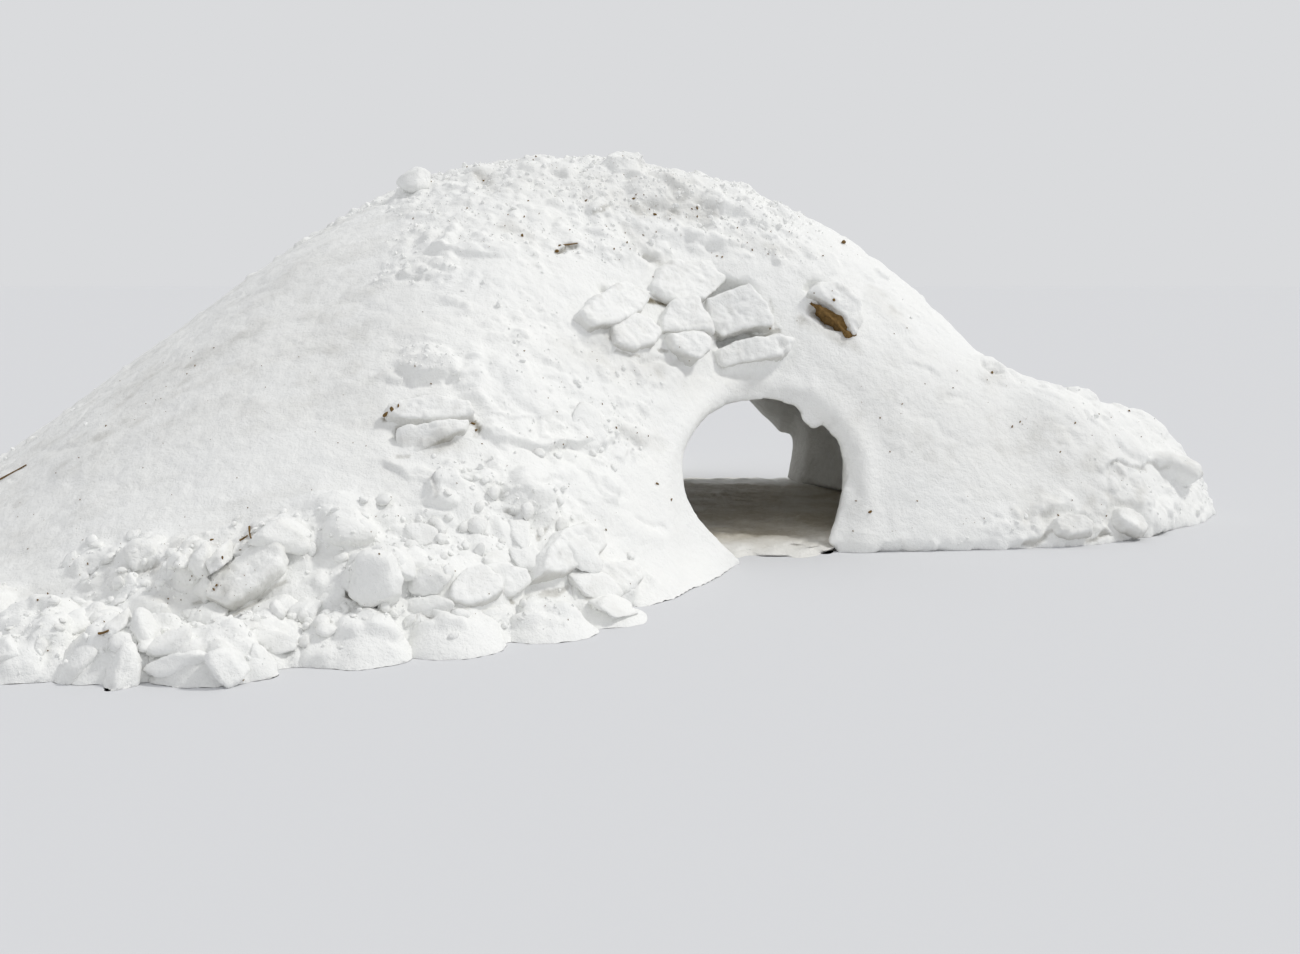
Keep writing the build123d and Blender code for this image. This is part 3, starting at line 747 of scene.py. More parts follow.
# Darker patches on the surface, partly grime and partly painted shade: line from and to, reach in
# pixels, and strength.
STAINS_AND_SHADE = [
    (646, 206, 706, 214, 18, 0.34), (650, 180, 700, 200, 30, 0.15), (740, 238, 790, 252, 14, 0.16),
    (476, 172, 488, 180, 12, 0.28), (505, 225, 530, 242, 16, 0.12), (625, 230, 662, 262, 12, 0.20),
    (500, 165, 620, 200, 40, 0.09), (436, 434, 480, 430, 14, 0.12), (404, 440, 458, 444, 13, 0.22),
    (185, 550, 232, 600, 22, 0.22), (215, 545, 225, 565, 14, 0.20), (150, 585, 200, 600, 18, 0.16),
    (640, 372, 690, 390, 22, 0.12), (560, 350, 640, 372, 24, 0.10), (600, 330, 660, 365, 20, 0.12),
    (806, 320, 856, 345, 10, 0.40), (870, 290, 912, 330, 10, 0.16), (850, 430, 870, 550, 26, 0.08),
    (905, 545, 918, 548, 8, 0.25), (1030, 520, 1160, 540, 20, 0.14), (1090, 490, 1140, 500, 20, 0.10),
    (985, 375, 1000, 380, 10, 0.14), (1165, 455, 1200, 470, 12, 0.18), (180, 370, 60, 470, 18, 0.10),
    (230, 340, 120, 400, 20, 0.07), (340, 350, 380, 480, 60, 0.05), (40, 440, 330, 320, 130, 0.10),
    (0, 500, 40, 560, 40, 0.08),
    (616, 424, 660, 446, 12, 0.18), (700, 380, 830, 395, 14, 0.07), (300, 545, 320, 560, 10, 0.12),
    (270, 540, 308, 550, 14, 0.16), (340, 700, 360, 706, 12, 0.30), (880, 400, 1100, 480, 80, 0.15),
]


def beside_line(x, y, x0, y0, x1, y1):
    """Pixels past the ends of a line, and upwards off it."""
    dx, dy = x1 - x0, y1 - y0
    length = math.hypot(dx, dy)
    along = ((x - x0) * dx + (y - y0) * dy) / length
    above = ((x - x0) * dy - (y - y0) * dx) / length
    past = np.maximum(-along, along - length).clip(0)
    return past, above


def off_line(x, y, x0, y0, x1, y1):
    """Pixels from the nearest point of a line."""
    return np.hypot(*beside_line(x, y, x0, y0, x1, y1))


def faces_camera(points, normals):
    """1 where the surface looks straight at the photograph's camera, below 0 where it looks away."""
    view = EYE - points
    return (view * normals).sum(1) / np.linalg.norm(view, axis=1)


def shown_points(points, facing):
    """The points that the camera can see: which, where they are, and where in the photograph.

    The pixels wander a little, so that no form drawn by them has a straight edge.
    """
    near = np.flatnonzero((facing > 0) & (points[:, 1] < 0.6))
    p = points[near]
    x, y, _ = in_photo(p)
    x = x + 6 * ripple(p, 0.12, SEED + 40) + 2 * ripple(p, 0.04, SEED + 41)
    y = y + 6 * ripple(p, 0.12, SEED + 42) + 2 * ripple(p, 0.04, SEED + 43)
    return near, p, x, y


def hand_forms(points, facing):
    """Height of the forms and gaps read off, on the snow that the camera sees."""
    total = np.zeros(len(points))
    near, p, x, y = shown_points(points, facing)
    uneven = 0.8 + 0.6 * ripple(p, 0.14, SEED + 44)
    for kind, x0, y0, x1, y1, reach, high in FORMS:
        past, above = beside_line(x, y, x0, y0, x1, y1)
        if kind == "step":
            fade = ease(past / reach, 1.3, 0)
            over = np.exp(-np.clip(above, 0, None) / (1.3 * reach)) * ease(above / reach, -0.30, 0.10)
            below = np.exp(-np.clip(-above - 0.1 * reach, 0, None) / (0.7 * reach))
            form = fade * uneven * (over - 0.25 * below * ease(above / reach, 0.10, -0.30))
        else:
            form = ease(1 - np.hypot(past, above) / reach, 0, 1) * (-1 if kind == "hollow" else 1)
        total[near] += high * form
    for x0, y0, x1, y1, reach, deep, _ in GAPS:
        total[near] -= deep * uneven * ease(off_line(x, y, x0, y0, x1, y1) / reach, 1, 0.2)
    return total * ease(facing, 0.0, 0.2)


def hand_stains_and_shade(points, facing, joints=True):
    """Grime and painted shade read off, on the snow that the camera sees; joints adds what lies in GAPS.
    """
    total = np.zeros(len(points))
    near, p, x, y = shown_points(points, facing)
    blotch = 0.5 + 1.1 * np.clip(layered(p, 0.12, SEED + 50, 4), 0, 1)
    for x0, y0, x1, y1, reach, strength in STAINS_AND_SHADE:
        total[near] += strength * blotch * ease(off_line(x, y, x0, y0, x1, y1) / reach, 1, 0.1)
    # Painted shade, with some grime, darkens the joints of GAPS.
    for x0, y0, x1, y1, reach, _, strength in GAPS if joints else []:
        grime_and_shade = strength * ease(off_line(x, y, x0, y0, x1, y1) / reach, 1.0, 0.3)
        total[near] = np.maximum(total[near], grime_and_shade)
    return total


def lump_height(side, up, rng):
    """Height from 0 to 1 of a broken lump over its own plane: flat top, steep uneven sides."""
    corners = rng.integers(5, 8)
    turn = rng.uniform(0, 2 * math.pi)
    lean = rng.uniform(-0.32, 0.32, 2)
    top = 1 - 0.22 * abs(lean).sum() + lean[0] * side + lean[1] * up
    second = 1.02 - 0.9 * (math.cos(turn) * side + math.sin(turn) * up)
    height = np.minimum(top, second)
    for k in range(corners):
        a = turn + 2 * math.pi * (k + rng.uniform(-0.25, 0.25)) / corners
        steep = rng.uniform(1.8, 4.2)
        reach = rng.uniform(0.84, 1.06)
        height = np.minimum(height, steep * (reach - math.cos(a) * side - math.sin(a) * up))
    return np.clip(height, 0, None)


def add_lumps(heights, points, lumps, tree):
    """Raises heights by broken lumps: (place, normal, across, half length, half depth, height)."""
    rng = np.random.default_rng(SEED)
    for place, normal, across, long, deep, high in lumps:
        upward = np.cross(normal, across)
        near = np.array([i for _, i, _ in tree.find_range(Vector(place), 1.2 * max(long, deep))])
        if not len(near):
            continue
        rel = points[near] - place
        near = near[np.abs(rel @ normal) < 0.6 * max(long, deep)]
        rel = points[near] - place
        rise = lump_height(rel @ across / long, rel @ upward / deep, rng)
        bed = 0.35 * heights[near].mean() if len(near) else 0
        lifted = np.where(rise > 0, bed + high * rise, 0)
        heights[near] = np.maximum(heights[near], lifted)
    return heights


def tangent_frame(normal, turn):
    """A direction along the surface, turned from the picture's right by turn degrees."""
    right = np.array([1.0, 0, 0]) - normal * normal[0]
    right /= max(np.linalg.norm(right), 1e-6)
    other = np.cross(normal, right)
    a = math.radians(turn)
    return right * math.cos(a) - other * math.sin(a)


def hand_lumps(tree, normals, seen_tree):
    """The lumps of CLODS, where the camera sees them on the surface."""
    out = []
    for x, y, wide, tall, turn, high in CLODS:
        place, _, depth = seen_place(seen_tree, x, y)
        if place is None:
            continue
        normal = normals[tree.find(place)[1]]
        scale = depth / FOCAL_PIXELS
        slope = max(abs(float(np.dot(normal, sight_line(x, y)))), 0.45)
        out.append((np.array(place), normal, tangent_frame(normal, turn), wide * scale,
                    tall * scale / slope, high))
    return out


def clod_shape(directions, rng):
    """A broken lump about 2 across: a dozen flat faces met at worn edges."""
    count = rng.integers(10, 15)
    faces = rng.normal(size=(count, 3))
    faces /= np.linalg.norm(faces, axis=1)[:, None]
    faces = np.vstack([faces, [0, 0, 1]]) / np.append(rng.uniform(0.72, 1.0, count), 0.85)[:, None]
    reach = (np.clip(directions @ faces.T, 0, None) ** 26).sum(1) ** (-1 / 26)
    return directions * np.minimum(reach, 1.25)[:, None]


def clods(name, lumps, level, sunk, seed):
    """Broken lumps bedded on the skin: (place, normal, across, half length, half depth, height)."""
    rng = np.random.default_rng(seed)
    bm = bmesh.new()
    bmesh.ops.create_icosphere(bm, subdivisions=level, radius=1.0)
    directions = np.array([v.co.normalized() for v in bm.verts])
    faces = np.array([[v.index for v in f.verts] for f in bm.faces])
    bm.free()
    verts, tris = [], []
    for place, normal, across, long, deep, high in lumps:
        shape = clod_shape(directions, rng) * [long, deep, 0.75 * high]
        shape = shape * (1 + 0.10 * layered(shape + place, 0.8 * long, seed, 4, 0.6))[:, None]
        lean = normal + rng.normal(size=3) * 0.12
        lean /= np.linalg.norm(lean)
        side = across - lean * (across @ lean)
        side /= np.linalg.norm(side)
        middle = place + normal * high * sunk
        corners = middle + shape @ np.array([side, np.cross(lean, side), lean])
        corners[:, 2] = np.maximum(corners[:, 2], 0.0)
        tris.append(faces + sum(len(v) for v in verts))
        verts.append(corners)
    mesh = bpy.data.meshes.new(name)
    mesh.from_pydata(np.vstack(verts).tolist(), [], np.vstack(tris).tolist())
    shade_smooth(mesh)
    points = points_of(mesh)
    set_grime_and_shade(mesh, 0.10 * np.clip(layered(points, 0.10, seed + 3), 0, 1))
    finish_piece(new_object(name, mesh), HEAPED_SNOW, "heaped_snow")
    return mesh


FOOT_CLOD_COUNT = 170


def foot_clods(points, normals, room):
    """Clods that have rolled down and lie along the foot in front."""
    rng = np.random.default_rng(SEED + 4)
    chance = front_foot(points) * ease(points[:, 2], 0.02, 0.06) * (normals[:, 2] > 0.1) * (room > 0.1)
    out = []
    for i in rng.choice(len(points), FOOT_CLOD_COUNT, replace=False, p=chance / chance.sum()):
        long = 0.014 + 0.036 * rng.random() ** 2
        out.append((points[i], normals[i], tangent_frame(normals[i], rng.uniform(0, 360)), long,
                    long * rng.uniform(0.6, 0.95), long * rng.uniform(0.5, 0.85)))
    return out


# Lumps laid at random: how many, and their least and greatest half length in metres.
LUMP_SIZES = ((520, 0.036, 0.072), (2600, 0.018, 0.042))


def random_lumps(points, normals, rough, room):
    """Lumps on the rough parts; larger near the ground, where they have rolled."""
    rng = np.random.default_rng(SEED + 1)
    chance = ease(rough, 0.12, 1.0) * room
    out = []
    for count, small, large in LUMP_SIZES:
        for i in rng.choice(len(points), count, replace=False, p=chance / chance.sum()):
            low = ease(np.array([points[i, 2]]), 0.9, 0.3)[0]
            long = rng.uniform(small, large) * (1 + 0.5 * low)
            high = long * rng.uniform(0.30, 0.60) * (0.7 - 0.1 * low)
            out.append((points[i], normals[i], tangent_frame(normals[i], rng.uniform(0, 360)), long,
                        long * rng.uniform(0.55, 0.9), high))
    return out


def filled(mesh, points, pairs, rounds, share):
    """Snow that has settled in the joints between lumps: valleys rise, crests stay."""
    for _ in range(rounds):
        set_points(mesh, points)
        move = smoothed(points, pairs, 3) - points
        normals = normals_of(mesh)
        out = np.clip((move * normals).sum(1), 0, None)
        points = points + normals * (out * share)[:, None]
    return points


def hump(values, low, top, high):
    """0 at low and high, 1 at top, smooth between."""
    return ease(values, low, top) * ease(values, high, top)


def passage_shift(points):
    """What snow has fallen from the passage's sides and roof, or slid down against its feet."""
    x, y, z = points.T
    shift = np.zeros_like(points)
    exit_wall = np.interp(y, [1.35, 2.3, 3.0], [-0.60, -0.21, 0.40])
    shift[:, 0] -= (EXIT_WALL_SHIFT * hump(y, 1.2, 2.25, 3.1) * hump(x - exit_wall, -0.75, 0.0, 0.50)
                    * ease(z, 1.15, 0.75))
    shift[:, 2] -= (EXIT_ROOF_DROP * hump(y, 0.8, 1.40, 2.3) * hump(x, -0.12, 0.29, 0.46)
                    * ease(z, 0.22, 0.50))
    door = hump(y, -2.0, -1.30, -0.6)
    shift[:, 0] -= (LEFT_JAMB_SHIFT * door * hump(x, -0.85, -0.44, -0.15)
                    * hump(z, -0.05, 0.35, 0.80))
    shift[:, 0] -= RIGHT_JAMB_SHIFT * door * hump(x, 0.15, 0.36, 0.75) * ease(z, 0.40, 0.05)
    shift[:, 2] -= (ARCH_DROP * ease(y, -0.5, -0.95) * ease(door_ring(points), 1.75, 1.15)
                    * ease(z, 0.55, 0.78))
    return shift


def settled(mesh, base, pairs):
    """The skin worn round, run out at the foot and moved in the passage, and its door rings."""
    points = smoothed(base, pairs, 5, weight=0.15 + 0.85 * ease(base[:, 2], 0.0, 0.05))
    set_points(mesh, points)
    sideways = smoothed(normals_of(mesh) * [1, 1, 0], pairs, 25)
    sideways /= np.maximum(np.linalg.norm(sideways, axis=1), 0.1)[:, None]
    run_out = RUN_OUT * np.clip(1 - points[:, 2] / RUN_OUT_HEIGHT, 0, 1) ** 2
    points += sideways * (run_out * front_foot(points))[:, None]
    joints = front_foot(points) + 0.3 * ease(points[:, 2], 1.6, 1.9)
    points = filled(mesh, points, pairs, 30, joints)
    ring = door_ring(points)
    rim = np.exp(-((ring - 1.04) / 0.20) ** 2) * ease(points[:, 2], 0.35, 0.6)
    points = smoothed(points, pairs, 30, weight=rim)
    points += passage_shift(points)
    set_points(mesh, points)
    return points, ring


def calm_by_blocks(points, solids):
    """0 against a free block, so that no lump grows through it, and 1 away from them all."""
    blocks = surface_of([solid for name, solid in solids.items() if name != EARTH])[0]
    calm = np.ones(len(points))
    for i in np.flatnonzero((points[:, 1] < -0.4) & (points[:, 0] > -2.9) & (points[:, 0] < 2.5)):
        far = blocks.find_nearest(Vector(points[i]), CALM_REACH)[3]
        if far is not None:
            calm[i] = ease(np.array([far]), 0.015, CALM_REACH)[0]
    return calm


def natural_relief(points, rough):
    """Swells, lumps and dents of the snow, in metres."""
    shifted = warped(points, 0.16, SEED + 60, 0.045)
    swell = layered(points, 0.8, SEED, 2) * 0.012
    heave = (np.abs(layered(shifted, 0.26, SEED + 1, 3)) - 0.35) * (0.006 + 0.030 * rough)
    dents = (np.abs(layered(shifted, 0.11, SEED + 2, 2)) - 0.35) * (0.002 + 0.020 * rough)
    return swell + heave + dents


def skin_grime_and_shade(points, facing, wall):
    """Streaks and darker patches outside, partly grime and partly painted shade, and the grey of the
    passage inside, partly dirt and partly painted shade.
    """
    streak_points = points * [0.35, 1.6, 0.35]
    streak = np.clip(layered(streak_points, 0.16, SEED + 8, 4), 0, 1) * ease(points[:, 0], -1.5, -2.3)
    dark = 0.10 * streak + hand_stains_and_shade(points, facing)
    # Under the roof the snow is greyed: partly dirt, partly painted shade.
    return np.maximum(dark * (1 - wall), wall * (0.34 + 0.10 * layered(points, 0.3, SEED + 9, 3)))


def shape_skin(mesh, solids):
    """Rounds the skin and gives it the lumps, hollows and clods of heaped snow."""
    pairs = edges_of(mesh)
    base = points_of(mesh)
    points, ring = settled(mesh, base, pairs)
    normals = normals_of(mesh)
    facing = faces_camera(points, normals)
    seen_tree = surface_of([mesh])[0]
    tree = KDTree(len(points))
    for i, p in enumerate(points):
        tree.insert(p, i)
    tree.balance()
    wall = ease(smoothed(under_cover(points, normals, seen_tree)[:, None], pairs, 6)[:, 0], 0.3, 0.8)
    room = (1 - wall) * ease(ring, 1.25, 1.8) * (points[:, 2] > 0.03)
    calm = calm_by_blocks(points, solids)
    rough = rough_share(points, facing) * (1 - wall) * (1 - 0.9 * ease(ring, 1.8, 1.35))
    read = hand_lumps(tree, normals, seen_tree)
    loose = [lump for lump in read if lump[5] >= LOOSE_HEIGHT]
    beds = [lump if lump[5] < LOOSE_HEIGHT else (*lump[:5], 0.45 * lump[5]) for lump in read]
    lumps = random_lumps(points, normals, rough, room) + beds
    raised = add_lumps(np.zeros(len(points)), points, lumps, tree)
    raised = smoothed(raised[:, None], pairs, 1)[:, 0]
    outer = natural_relief(points, rough) + raised + hand_forms(points, facing)
    outer = outer - ROUGH_DROP * ease(rough, 0.2, 0.9) - TOP_DROP * ease(points[:, 2], 1.5, 2.25)
    outer = outer + COLLAR_HEIGHT * np.exp(-((ring - 1.28) / 0.16) ** 2)
    scoops = layered(points * [1, 0.5, 1], 0.22, SEED + 7, 2) * 0.012
    push = (outer * calm - 0.001 * (1 - calm)) * (1 - wall) + scoops * wall
    moved = normals * push[:, None]
    moved[:, 2] *= ease(points[:, 2], 0.0, 0.05)
    points = points + moved
    x, y, _ = in_photo(points)
    off_tooth = np.hypot((x - TOOTH_MIDDLE[0]) / TOOTH_HALF[0], (y - TOOTH_MIDDLE[1]) / TOOTH_HALF[1])
    points[:, 2] -= TOOTH_LENGTH * (ease(off_tooth, 1, 0.2) * (points[:, 1] < -0.9))
    points[:, 2] = np.maximum(points[:, 2], 0.0)
    set_points(mesh, points)
    set_grime_and_shade(mesh, skin_grime_and_shade(points, facing, wall))
    return base, rough * room * calm, loose


def foot_outlines(mesh):
    """The open edges of the skin at the ground, as closed rings of points."""
    corners, starts, counts = faces_of(mesh)
    ends = np.roll(corners, -1)
    last = starts + counts - 1
    ends[last] = corners[starts]
    there = set(zip(corners.tolist(), ends.tolist()))
    after = {b: a for a, b in there if (b, a) not in there}
    points = points_of(mesh)
    rings = []
    while after:
        start, here = next(iter(after.items()))
        ring = [start]
        del after[start]
        while here in after and here != start:
            ring.append(here)
            here = after.pop(here)
        if len(ring) > 20:
            rings.append(points[ring])
    return rings


def underside(mesh):
    """Closes the flat underside: one face inside each outline of the foot."""
    verts, faces = [], []
    for ring in foot_outlines(mesh):
        faces.append(list(range(len(verts), len(verts) + len(ring))))
        verts.extend((x, y, 0.0) for x, y, _ in ring.tolist())
    cap = bpy.data.meshes.new("mound_underside")
    cap.from_pydata(verts, [], faces)
    bm = bmesh.new()
    bm.from_mesh(cap)
    bmesh.ops.triangulate(bm, faces=list(bm.faces))
    for f in bm.faces:
        if f.normal.z > 0:
            f.normal_flip()
    bm.to_mesh(cap)
    bm.free()
    set_grime_and_shade(cap, np.zeros(len(cap.vertices)))
    finish_piece(new_object("mound_underside", cap), HEAPED_SNOW, "heaped_snow")


def split_skin(mesh, base):
    """Parts the skin where the CAD pieces meet, with one run of normals over the joints."""
    nodes = WALLS + LUMPS
    tree, owner = surface_of([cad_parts[n].data for n in nodes])
    normals = normals_of(mesh)
    corners, starts, counts = faces_of(mesh)
    centres = np.add.reduceat(base[corners], starts) / counts[:, None]
    belongs = np.array([owner[tree.find_nearest(c)[2]] for c in centres])
    points = points_of(mesh)
    grime_and_shade = np.empty(len(points), np.float32)
    mesh.attributes["grime_and_shade"].data.foreach_get("value", grime_and_shade)
    faces = np.split(corners, starts[1:])
    for k, node in enumerate(nodes):
        mine = [faces[f] for f in np.flatnonzero(belongs == k)]
        if not mine:
            raise SystemExit("no skin for " + node)
        used, flat = np.unique(np.concatenate(mine), return_inverse=True)
        ends = np.cumsum([len(f) for f in mine])[:-1]
        piece = bpy.data.meshes.new(node + "_snow")
        piece.from_pydata(points[used].tolist(), [], [f.tolist() for f in np.split(flat, ends)])
        shade_smooth(piece)
        piece.update()
        set_grime_and_shade(piece, grime_and_shade[used])
        piece.normals_split_custom_set_from_vertices(normals[used].tolist())
        finish_piece(new_object(node + "_snow", piece), HEAPED_SNOW, "heaped_snow", node)


# Blocks and slabs that lie free on the mound.
def weathered_block(node, solid, seed):
    """A broken piece of packed snow: edges worn round, faces pitted, grit on it, and painted shade on
    the faces that look down.
    """
    flat_faces = surface_of([solid])[0]
    mesh = remeshed(solid, BLOCK_VOXEL)
    pairs = edges_of(mesh)
    points = smoothed(points_of(mesh), pairs, 2)
    points = np.array([flat_faces.find_nearest(Vector(p))[0] for p in points])
    points = smoothed(points, pairs, 2)
    set_points(mesh, points)
    normals = normals_of(mesh)
    shifted = warped(points, 0.08, seed + 5, 0.02)
    push = ((np.abs(layered(shifted, 0.14, seed, 3)) - 0.35) * 0.014
            + (np.abs(layered(shifted, 0.05, seed + 2, 3)) - 0.35) * 0.006
            + layered(points, 0.03, seed + 1, 2) * 0.0015 + 0.002)
    points = points + normals * push[:, None]
    points[:, 2] = np.maximum(points[:, 2], 0.0)
    set_points(mesh, points)
    shade_smooth(mesh)
    # Painted shade: faces that look down are darkened.
    under = ease(normals[:, 2], -0.1, -0.8) * 0.35
    spots = 0.12 * np.clip(layered(points, 0.06, seed + 3), 0, 1)
    set_grime_and_shade(mesh, np.maximum(under, spots) + hand_stains_and_shade(points, faces_camera(points, normals), False))
    finish_piece(new_object(node + "_weathered", mesh), PACKED_SNOW, "packed_snow", node)
    return mesh


def trodden_floor():
    """Darker under the roof, partly dirt and partly painted shade, cleaner towards both ends."""
    mesh = remeshed(copy_of_nodes(FLOOR, [FLOOR]), FLOOR_VOXEL)
    points = smoothed(points_of(mesh), edges_of(mesh), 2)
    top = ease(points[:, 2], 0.0, 0.012)
    shifted = warped(points, 0.16, SEED + 24, 0.05)
    points[:, 2] += top * (layered(points, 0.22, SEED + 20, 3) * 0.008
                           + (np.abs(layered(shifted, 0.12, SEED + 21, 3)) - 0.3) * 0.012)
    points[:, 2] = np.maximum(points[:, 2], 0.0)
    front = np.clip(-1.18 - points[:, 1], 0, None)
    worn = 0.80 * np.abs(points[:, 0] / 0.43) ** 2.2 + 0.30 * ripple(points * [1, 1, 0], 0.09, SEED + 25)
    points[:, 1] += front * np.clip(worn, 0, 0.85)
    points[:, 2] *= ease(points[:, 1], -1.56, -1.36) * 0.8 + 0.2
    set_points(mesh, points)
    shade_smooth(mesh)
    y = points[:, 1] + 0.05 * ripple(points, 0.15, SEED + 23)
    # Under the roof the floor is darkened: partly trodden dirt, partly painted shade.
    sheltered = ease(y, -1.42, -1.05) * ease(y, 1.05, 0.80)
    set_grime_and_shade(mesh, sheltered * (0.85 + 0.25 * layered(points, 0.3, SEED + 22)))
    finish_piece(new_object("floor_trodden", mesh), TRODDEN_SNOW, "trodden_snow", FLOOR)


def crumbled_earth(solid):
    mesh = remeshed(solid, EARTH_VOXEL)
    points = smoothed(points_of(mesh), edges_of(mesh), 3)
    set_points(mesh, points)
    push = layered(points, 0.05, SEED + 30, 4) * 0.012
    set_points(mesh, points + normals_of(mesh) * push[:, None])
    shade_smooth(mesh)
    finish_piece(new_object("earth_crumbled", mesh), FROZEN_EARTH, "frozen_earth", EARTH)


# Crumbs of snow and grains of dirt, scattered over the surface.
def scatter_nodes(name, faces_level, material):
    """A lump on every point, as large as its size, each turned and dented in its own way."""
    tree = bpy.data.node_groups.new(name, "GeometryNodeTree")
    face = tree.interface
    face.new_socket("Points", in_out="INPUT", socket_type="NodeSocketGeometry")
    inputs = {}
    for label, kind in (("Narrowness", "Float"), ("Flatness", "Float"), ("Dent depth", "Float"),
                        ("Dent width", "Float"), ("Seed", "Int")):
        socket = face.new_socket(label, in_out="INPUT", socket_type="NodeSocket" + kind)
        inputs[label] = socket.identifier
    face.new_socket("Geometry", in_out="OUTPUT", socket_type="NodeSocketGeometry")
    given = add(tree, "NodeGroupInput").outputs
    size = add(tree, "GeometryNodeInputNamedAttribute", {"Name": "size"}, data_type="FLOAT")
    lump = add(tree, "GeometryNodeMeshIcoSphere", {"Radius": 0.5, "Subdivisions": faces_level})
    turn = add(tree, "FunctionNodeRandomValue", {"Min": (0, 0, 0), "Max": (6.28, 6.28, 6.28),
                                                 "Seed": given["Seed"]}, data_type="FLOAT_VECTOR")
    flat = add(tree, "ShaderNodeCombineXYZ", {"X": 1.0, "Y": given["Narrowness"],
                                              "Z": given["Flatness"]})
    sized = add(tree, "ShaderNodeVectorMath", {0: flat.outputs["Vector"],
                                               "Scale": size.outputs["Attribute"]}, operation="SCALE")
    placed = add(tree, "GeometryNodeInstanceOnPoints", {
        "Points": given["Points"], "Instance": lump.outputs["Mesh"],
        "Rotation": turn.outputs["Value"], "Scale": sized.outputs["Vector"]})
    real = add(tree, "GeometryNodeRealizeInstances", {"Geometry": placed.outputs["Instances"]})
    place = add(tree, "GeometryNodeInputPosition").outputs["Position"]
    width = add(tree, "ShaderNodeMath", {0: 1.0, 1: given["Dent width"]}, operation="DIVIDE")
    dents = add(tree, "ShaderNodeTexNoise", {"Vector": place, "Scale": width.outputs["Value"],
                                             "Detail": 1.0})
    centred = add(tree, "ShaderNodeVectorMath", {0: dents.outputs["Color"], 1: (0.5, 0.5, 0.5)},
                  operation="SUBTRACT")
    push = add(tree, "ShaderNodeVectorMath", {0: centred.outputs["Vector"],
                                              "Scale": given["Dent depth"]}, operation="SCALE")
    dented = add(tree, "GeometryNodeSetPosition", {"Geometry": real.outputs["Geometry"],
                                                   "Offset": push.outputs["Vector"]})
    coloured = add(tree, "GeometryNodeSetMaterial", {"Geometry": dented.outputs["Geometry"],
                                                     "Material": material})
    add(tree, "NodeGroupOutput", {"Geometry": coloured.outputs["Geometry"]})
    return tree, inputs


def scattered(name, places, sizes, material, slot, faces_level, values):
    mesh = bpy.data.meshes.new(name + "_points")
    mesh.from_pydata(np.asarray(places).tolist(), [], [])
    layer = mesh.attributes.new("size", "FLOAT", "POINT")
    layer.data.foreach_set("value", np.asarray(sizes, np.float32))
    obj = new_object(name + "_points", mesh)
    tree, inputs = scatter_nodes(name + "_scatter", faces_level, material)
    mod = obj.modifiers.new("scatter", "NODES")
    mod.node_group = tree
    for label, value in values.items():
        mod[inputs[label]] = value
    result = evaluated_copy(obj)
    result.name = name
    finish_piece(new_object(name, result), material, slot)


# Crumbs: piece, number, least and greatest width, level of detail, depth and width of dents.
CRUMBS = (("snow_crumbs_small", 4600, 0.010, 0.024, 1, 0.012, 0.02),
          ("snow_crumbs_large", 700, 0.024, 0.050, 2, 0.02, 0.035))


def snow_crumbs(points, normals, chance):
    """Crumbs of snow, most of them where it is rough."""
    rng = np.random.default_rng(SEED + 2)
    for name, count, low, high, level, dent_depth, dent_width in CRUMBS:
        pick = rng.choice(len(points), count, replace=False, p=chance / chance.sum())
        sizes = low + (high - low) * rng.random(count) ** 2
        places = points[pick] + normals[pick] * (sizes * rng.uniform(-0.2, 0.15, count))[:, None]
        places[:, 2] = np.maximum(places[:, 2], sizes * 0.65)
        scattered(name, places, sizes, PACKED_SNOW, "packed_snow", level,
                  {"Narrowness": 0.8, "Flatness": 0.65, "Dent depth": dent_depth,
                   "Dent width": dent_width, "Seed": SEED})


